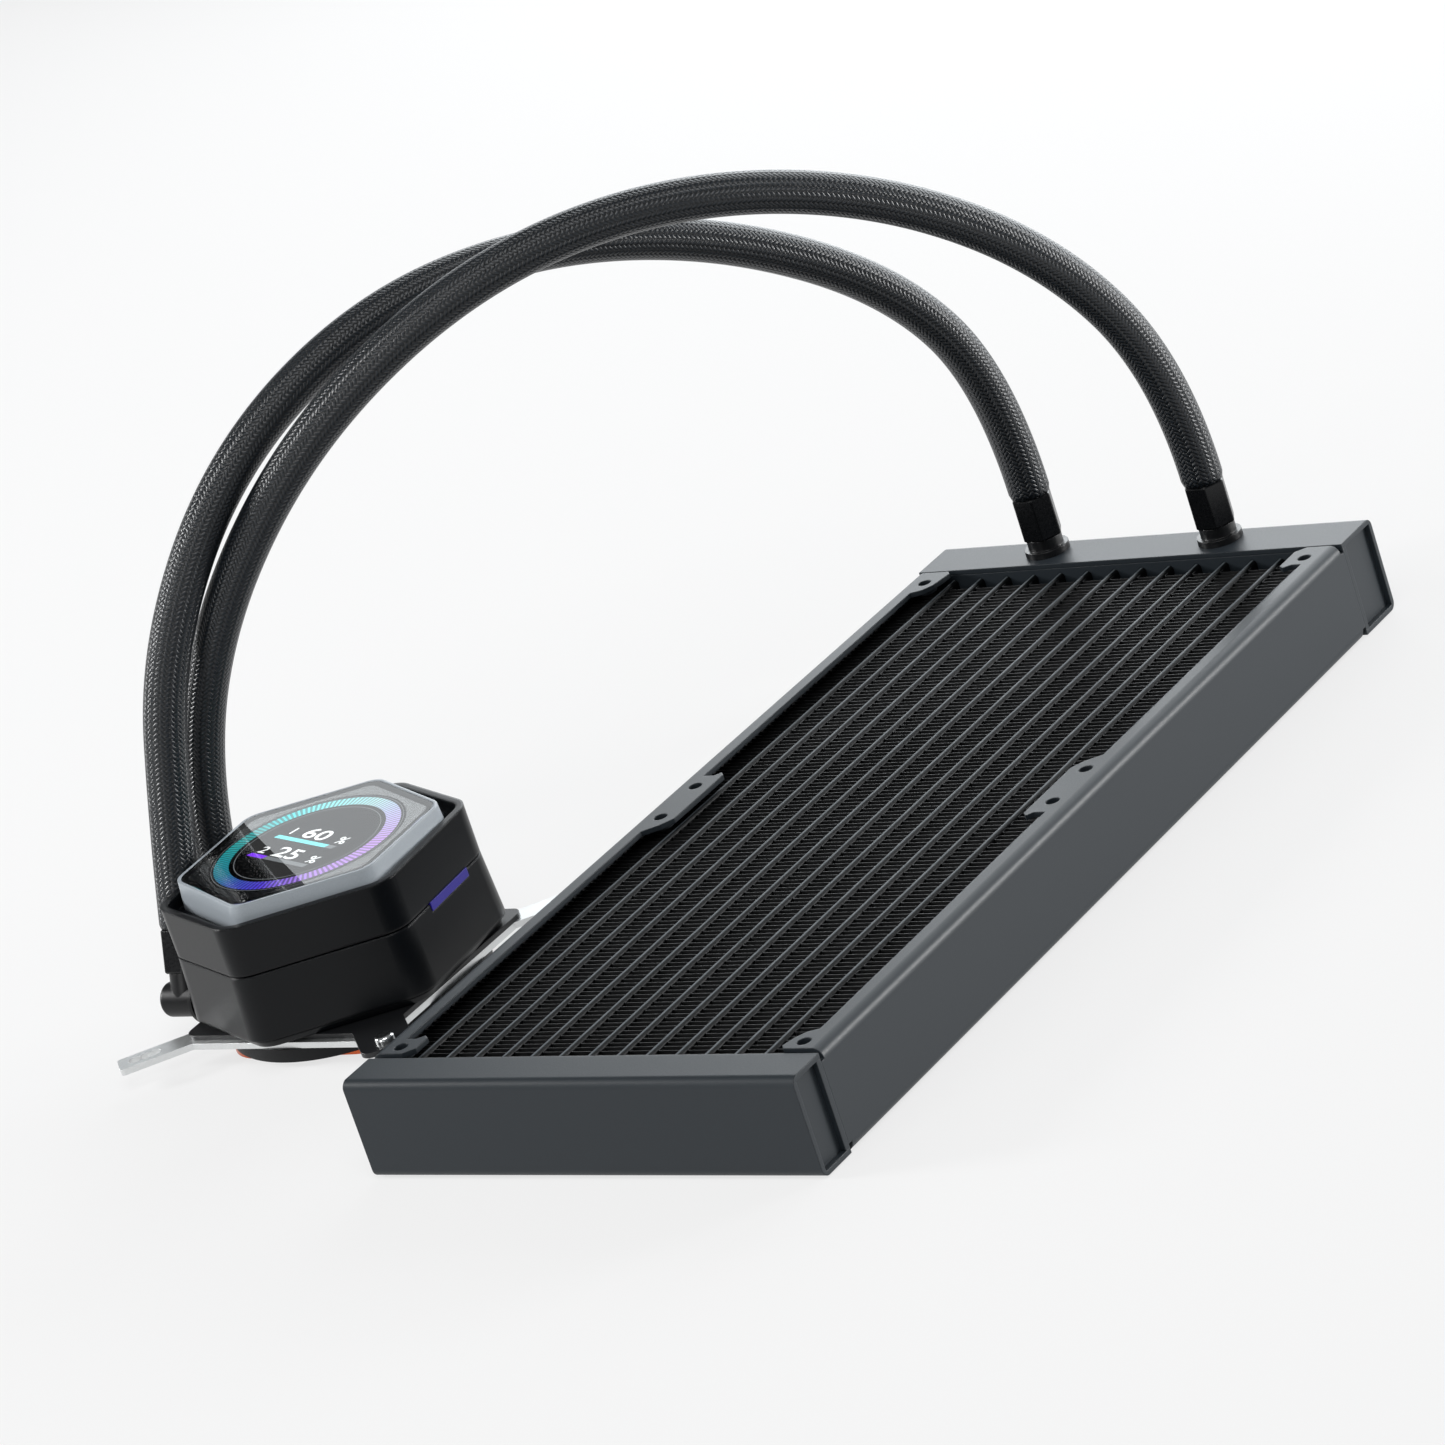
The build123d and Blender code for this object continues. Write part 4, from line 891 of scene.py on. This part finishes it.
class COOLER_OT_pump(CoolerOperator, bpy.types.Operator):
    """Finishes the pieces inside the pump head"""

    bl_idname = "cooler.pump"
    bl_label = "Pump"

    def execute(self, context):
        chamber = moulded_plastic("chamber_polyphenylene", linear("#1B1B1C"), (0.4, 0.5))
        dress(chamber, "pump_chamber", "jet_plate")
        dress(moulded_plastic("cup_polyether", linear("#A08C6A"), (0.35, 0.45)), "isolation_cup")
        dress(moulded_plastic("impeller_plastic", linear("#E4E2DA"), (0.4, 0.5)), "impeller")
        dress(moulded_plastic("ferrite_magnet", linear("#2B2A29"), (0.5, 0.62), 0.2 * MM), "rotor_magnet")
        dress(moulded_plastic("carbon_bushing", linear("#1D1D1E"), (0.5, 0.6), 0.2 * MM), "rotor_bushing")
        dress(moulded_plastic("ceramic_shaft", linear("#E8E6E0"), (0.15, 0.22), 0.5 * MM), "rotor_shaft")
        laminated = bare_metal("laminated_steel", linear("#8A8D90"), (0.35, 0.5), 0.5 * MM, (0.2, 0.2, 1))
        dress(laminated, "stator_core")
        winding = bare_metal("enamelled_winding", linear("#B4622E"), (0.25, 0.35), 0.4 * MM, (1, 1, 0.1))
        dress(winding, "stator_coils")
        dress(moulded_plastic("board_laminate", linear("#10301F"), (0.3, 0.42), 0.8 * MM), "control_board")
        dress(moulded_plastic("chip_epoxy", linear("#101011"), (0.45, 0.55), 0.2 * MM), "board_parts")
        return {"FINISHED"}


# Stage
def floor_material(settings):
    """Pale sweep: to camera, glossy and transmitted rays mostly its plain colour, with some real shade."""
    material, tree, shader = principled("paper_sweep", {"Roughness": 0.9})
    grain(tree, shader, linear("#E6E6E6"), 0.4 * MM, 0.02, (0.85, 0.95), edge=0.0)
    path = add_node(tree, "ShaderNodeLightPath").outputs
    rays = {0: path["Is Camera Ray"], 1: path["Is Glossy Ray"]}
    seen = add_node(tree, "ShaderNodeMath", rays, operation="ADD").outputs[0]
    rays = {0: seen, 1: path["Is Transmission Ray"]}
    seen = add_node(tree, "ShaderNodeMath", rays, operation="MAXIMUM", use_clamp=True).outputs[0]
    share = add_node(tree, "ShaderNodeMath", {0: seen, 1: FLOOR_PLAIN_SHARE}, operation="MULTIPLY")
    plain = add_node(tree, "ShaderNodeEmission", {"Color": tuple(settings.backdrop), "Strength": 1.0})
    shaders = {0: share.outputs[0], 1: shader.outputs[0], 2: plain.outputs[0]}
    mix = add_node(tree, "ShaderNodeMixShader", shaders)
    output = next(node for node in tree.nodes if node.type == "OUTPUT_MATERIAL")
    tree.links.new(mix.outputs[0], output.inputs["Surface"])
    return material


def add_lamp(name, place, target, size, power):
    """A square soft light that faces a target."""
    lamp = bpy.data.lights.new(name, "AREA")
    lamp.size = size
    lamp.energy = power
    holder = bpy.data.objects.new(name, lamp)
    holder.location = place
    holder.rotation_euler = (Vector(target) - Vector(place)).to_track_quat("-Z", "Y").to_euler()
    holder.visible_camera = False
    bpy.context.scene.collection.objects.link(holder)
    return holder


def camera_axes(settings):
    """The camera's view, right and up directions, from its azimuth, elevation and roll."""
    azimuth, elevation, roll = settings.azimuth, settings.elevation, settings.roll
    view = Vector((
        -math.sin(azimuth) * math.cos(elevation),
        math.cos(azimuth) * math.cos(elevation),
        -math.sin(elevation),
    ))
    level = Vector((math.cos(azimuth), math.sin(azimuth), 0))
    upright = level.cross(view)
    right = level * math.cos(roll) - upright * math.sin(roll)
    up = upright * math.cos(roll) + level * math.sin(roll)
    return view, right, up


def add_camera(settings):
    """Camera at the photograph's viewing angle, looking at the middle of the object; returns its place."""
    view, right, up = camera_axes(settings)
    camera = bpy.data.cameras.new("camera")
    camera.sensor_fit = "AUTO"
    camera.sensor_width = 36.0
    camera.lens = settings.lens
    camera.clip_start = 0.05
    camera.clip_end = 50
    holder = bpy.data.objects.new("camera", camera)
    place = Vector(LOOK_AT) - view * settings.distance
    axes = Matrix((right, up, -view)).transposed().to_4x4()
    holder.matrix_world = Matrix.Translation(place) @ axes
    bpy.context.scene.collection.objects.link(holder)
    bpy.context.scene.camera = holder
    return place


def softbox_material():
    """Softbox cloth that only gives light, weak at its left edge and stronger inside it."""
    material = bpy.data.materials.new("softbox_cloth")
    material.use_nodes = True
    tree = material.node_tree
    tree.nodes.clear()
    x = object_parts(tree)[0]
    rise = {0: x, 1: SOFTBOX_RISE[0], 2: SOFTBOX_RISE[1], 3: SOFTBOX_STRENGTHS[0], 4: SOFTBOX_STRENGTHS[1]}
    strength = add_node(tree, "ShaderNodeMapRange", rise).outputs[0]
    light = add_node(tree, "ShaderNodeEmission", {"Color": linear("#F1F5F8"), "Strength": strength})
    add_node(tree, "ShaderNodeOutputMaterial", {"Surface": light.outputs[0]})
    return material


def add_softbox(eye):
    """Large softbox behind the object, whose slanted edge the display's glass mirrors.

    Two points of the mirrored edge on the glass are sent along their rays from the eye, turned over at the
    glass, to the box's upright plane. The line through both bounds the box on the left, between two levels.
    """
    glass_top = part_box("screen_glass")[1][2]
    ends = []
    for x, y in SOFTBOX_MIRRORED_EDGE:
        point = Vector((x, y, glass_top))
        ray = point - eye
        ray.z = -ray.z
        ends.append(point + ray * ((SOFTBOX_PLANE - point.y) / ray.y))
    slope = (ends[1] - ends[0]) / (ends[1].z - ends[0].z)
    left = [ends[0] + slope * (level - ends[0].z) for level in SOFTBOX_LEVELS]
    right = [(SOFTBOX_RIGHT, SOFTBOX_PLANE, level) for level in SOFTBOX_LEVELS]
    points = np.array([left[0], left[1], right[1], right[0]])
    box = add_piece("softbox", points, [(0, 1, 2, 3)], softbox_material(), smooth=False)
    box.visible_camera = False
    box.visible_shadow = False
    return box


class COOLER_OT_stage(CoolerOperator, bpy.types.Operator):
    """Sets the camera, the floor, the lamps and the world"""

    bl_idname = "cooler.stage"
    bl_label = "Stage"

    def execute(self, context):
        settings = context.scene.cooler_stage
        eye = add_camera(settings)
        corners = FLOOR_REACH * np.array([(-1, -1, 0), (1, -1, 0), (1, 1, 0), (-1, 1, 0)])
        floor = add_piece("floor", corners, [(0, 1, 2, 3)], floor_material(settings), smooth=False)
        add_softbox(eye)
        for name, (place, target, size, power) in LAMPS.items():
            add_lamp(name, place, target, size, power)
        world = bpy.data.worlds.new("studio")
        context.scene.world = world
        world.use_nodes = True
        background = world.node_tree.nodes["Background"]
        background.inputs["Color"].default_value = linear("#F2F4F6")
        background.inputs["Strength"].default_value = WORLD_STRENGTH
        context.scene.view_settings.view_transform = "Standard"
        return {"FINISHED"}


OPERATORS = [
    COOLER_OT_radiator,
    COOLER_OT_core,
    COOLER_OT_hoses,
    COOLER_OT_fittings,
    COOLER_OT_housing,
    COOLER_OT_display,
    COOLER_OT_mounting,
    COOLER_OT_pump,
    COOLER_OT_stage,
]


class COOLER_PT_panel(bpy.types.Panel):
    """Lists the cooler's steps in the 3D view's sidebar."""

    bl_idname = "COOLER_PT_panel"
    bl_label = "Cooler"
    bl_space_type = "VIEW_3D"
    bl_region_type = "UI"
    bl_category = "Cooler"

    def draw(self, context):
        for operator in OPERATORS:
            self.layout.operator(operator.bl_idname)
        for name, group in SETTINGS.items():
            box = self.layout.box()
            for setting in group.__annotations__:
                box.prop(getattr(context.scene, name), setting)


CLASSES = [*SETTINGS.values(), *OPERATORS, COOLER_PT_panel]


def register():
    """Adds the cooler's settings, operators and panel."""
    for item in CLASSES:
        bpy.utils.register_class(item)
    for name, group in SETTINGS.items():
        setattr(bpy.types.Scene, name, bpy.props.PointerProperty(type=group))


def unregister():
    """Removes them again."""
    for name in SETTINGS:
        delattr(bpy.types.Scene, name)
    for item in reversed(CLASSES):
        bpy.utils.unregister_class(item)


def main():
    """Dresses the cooler."""
    register()
    for operator in OPERATORS:
        group, name = operator.bl_idname.split(".")
        getattr(getattr(bpy.ops, group), name)()


if __name__ == "__main__":
    main()
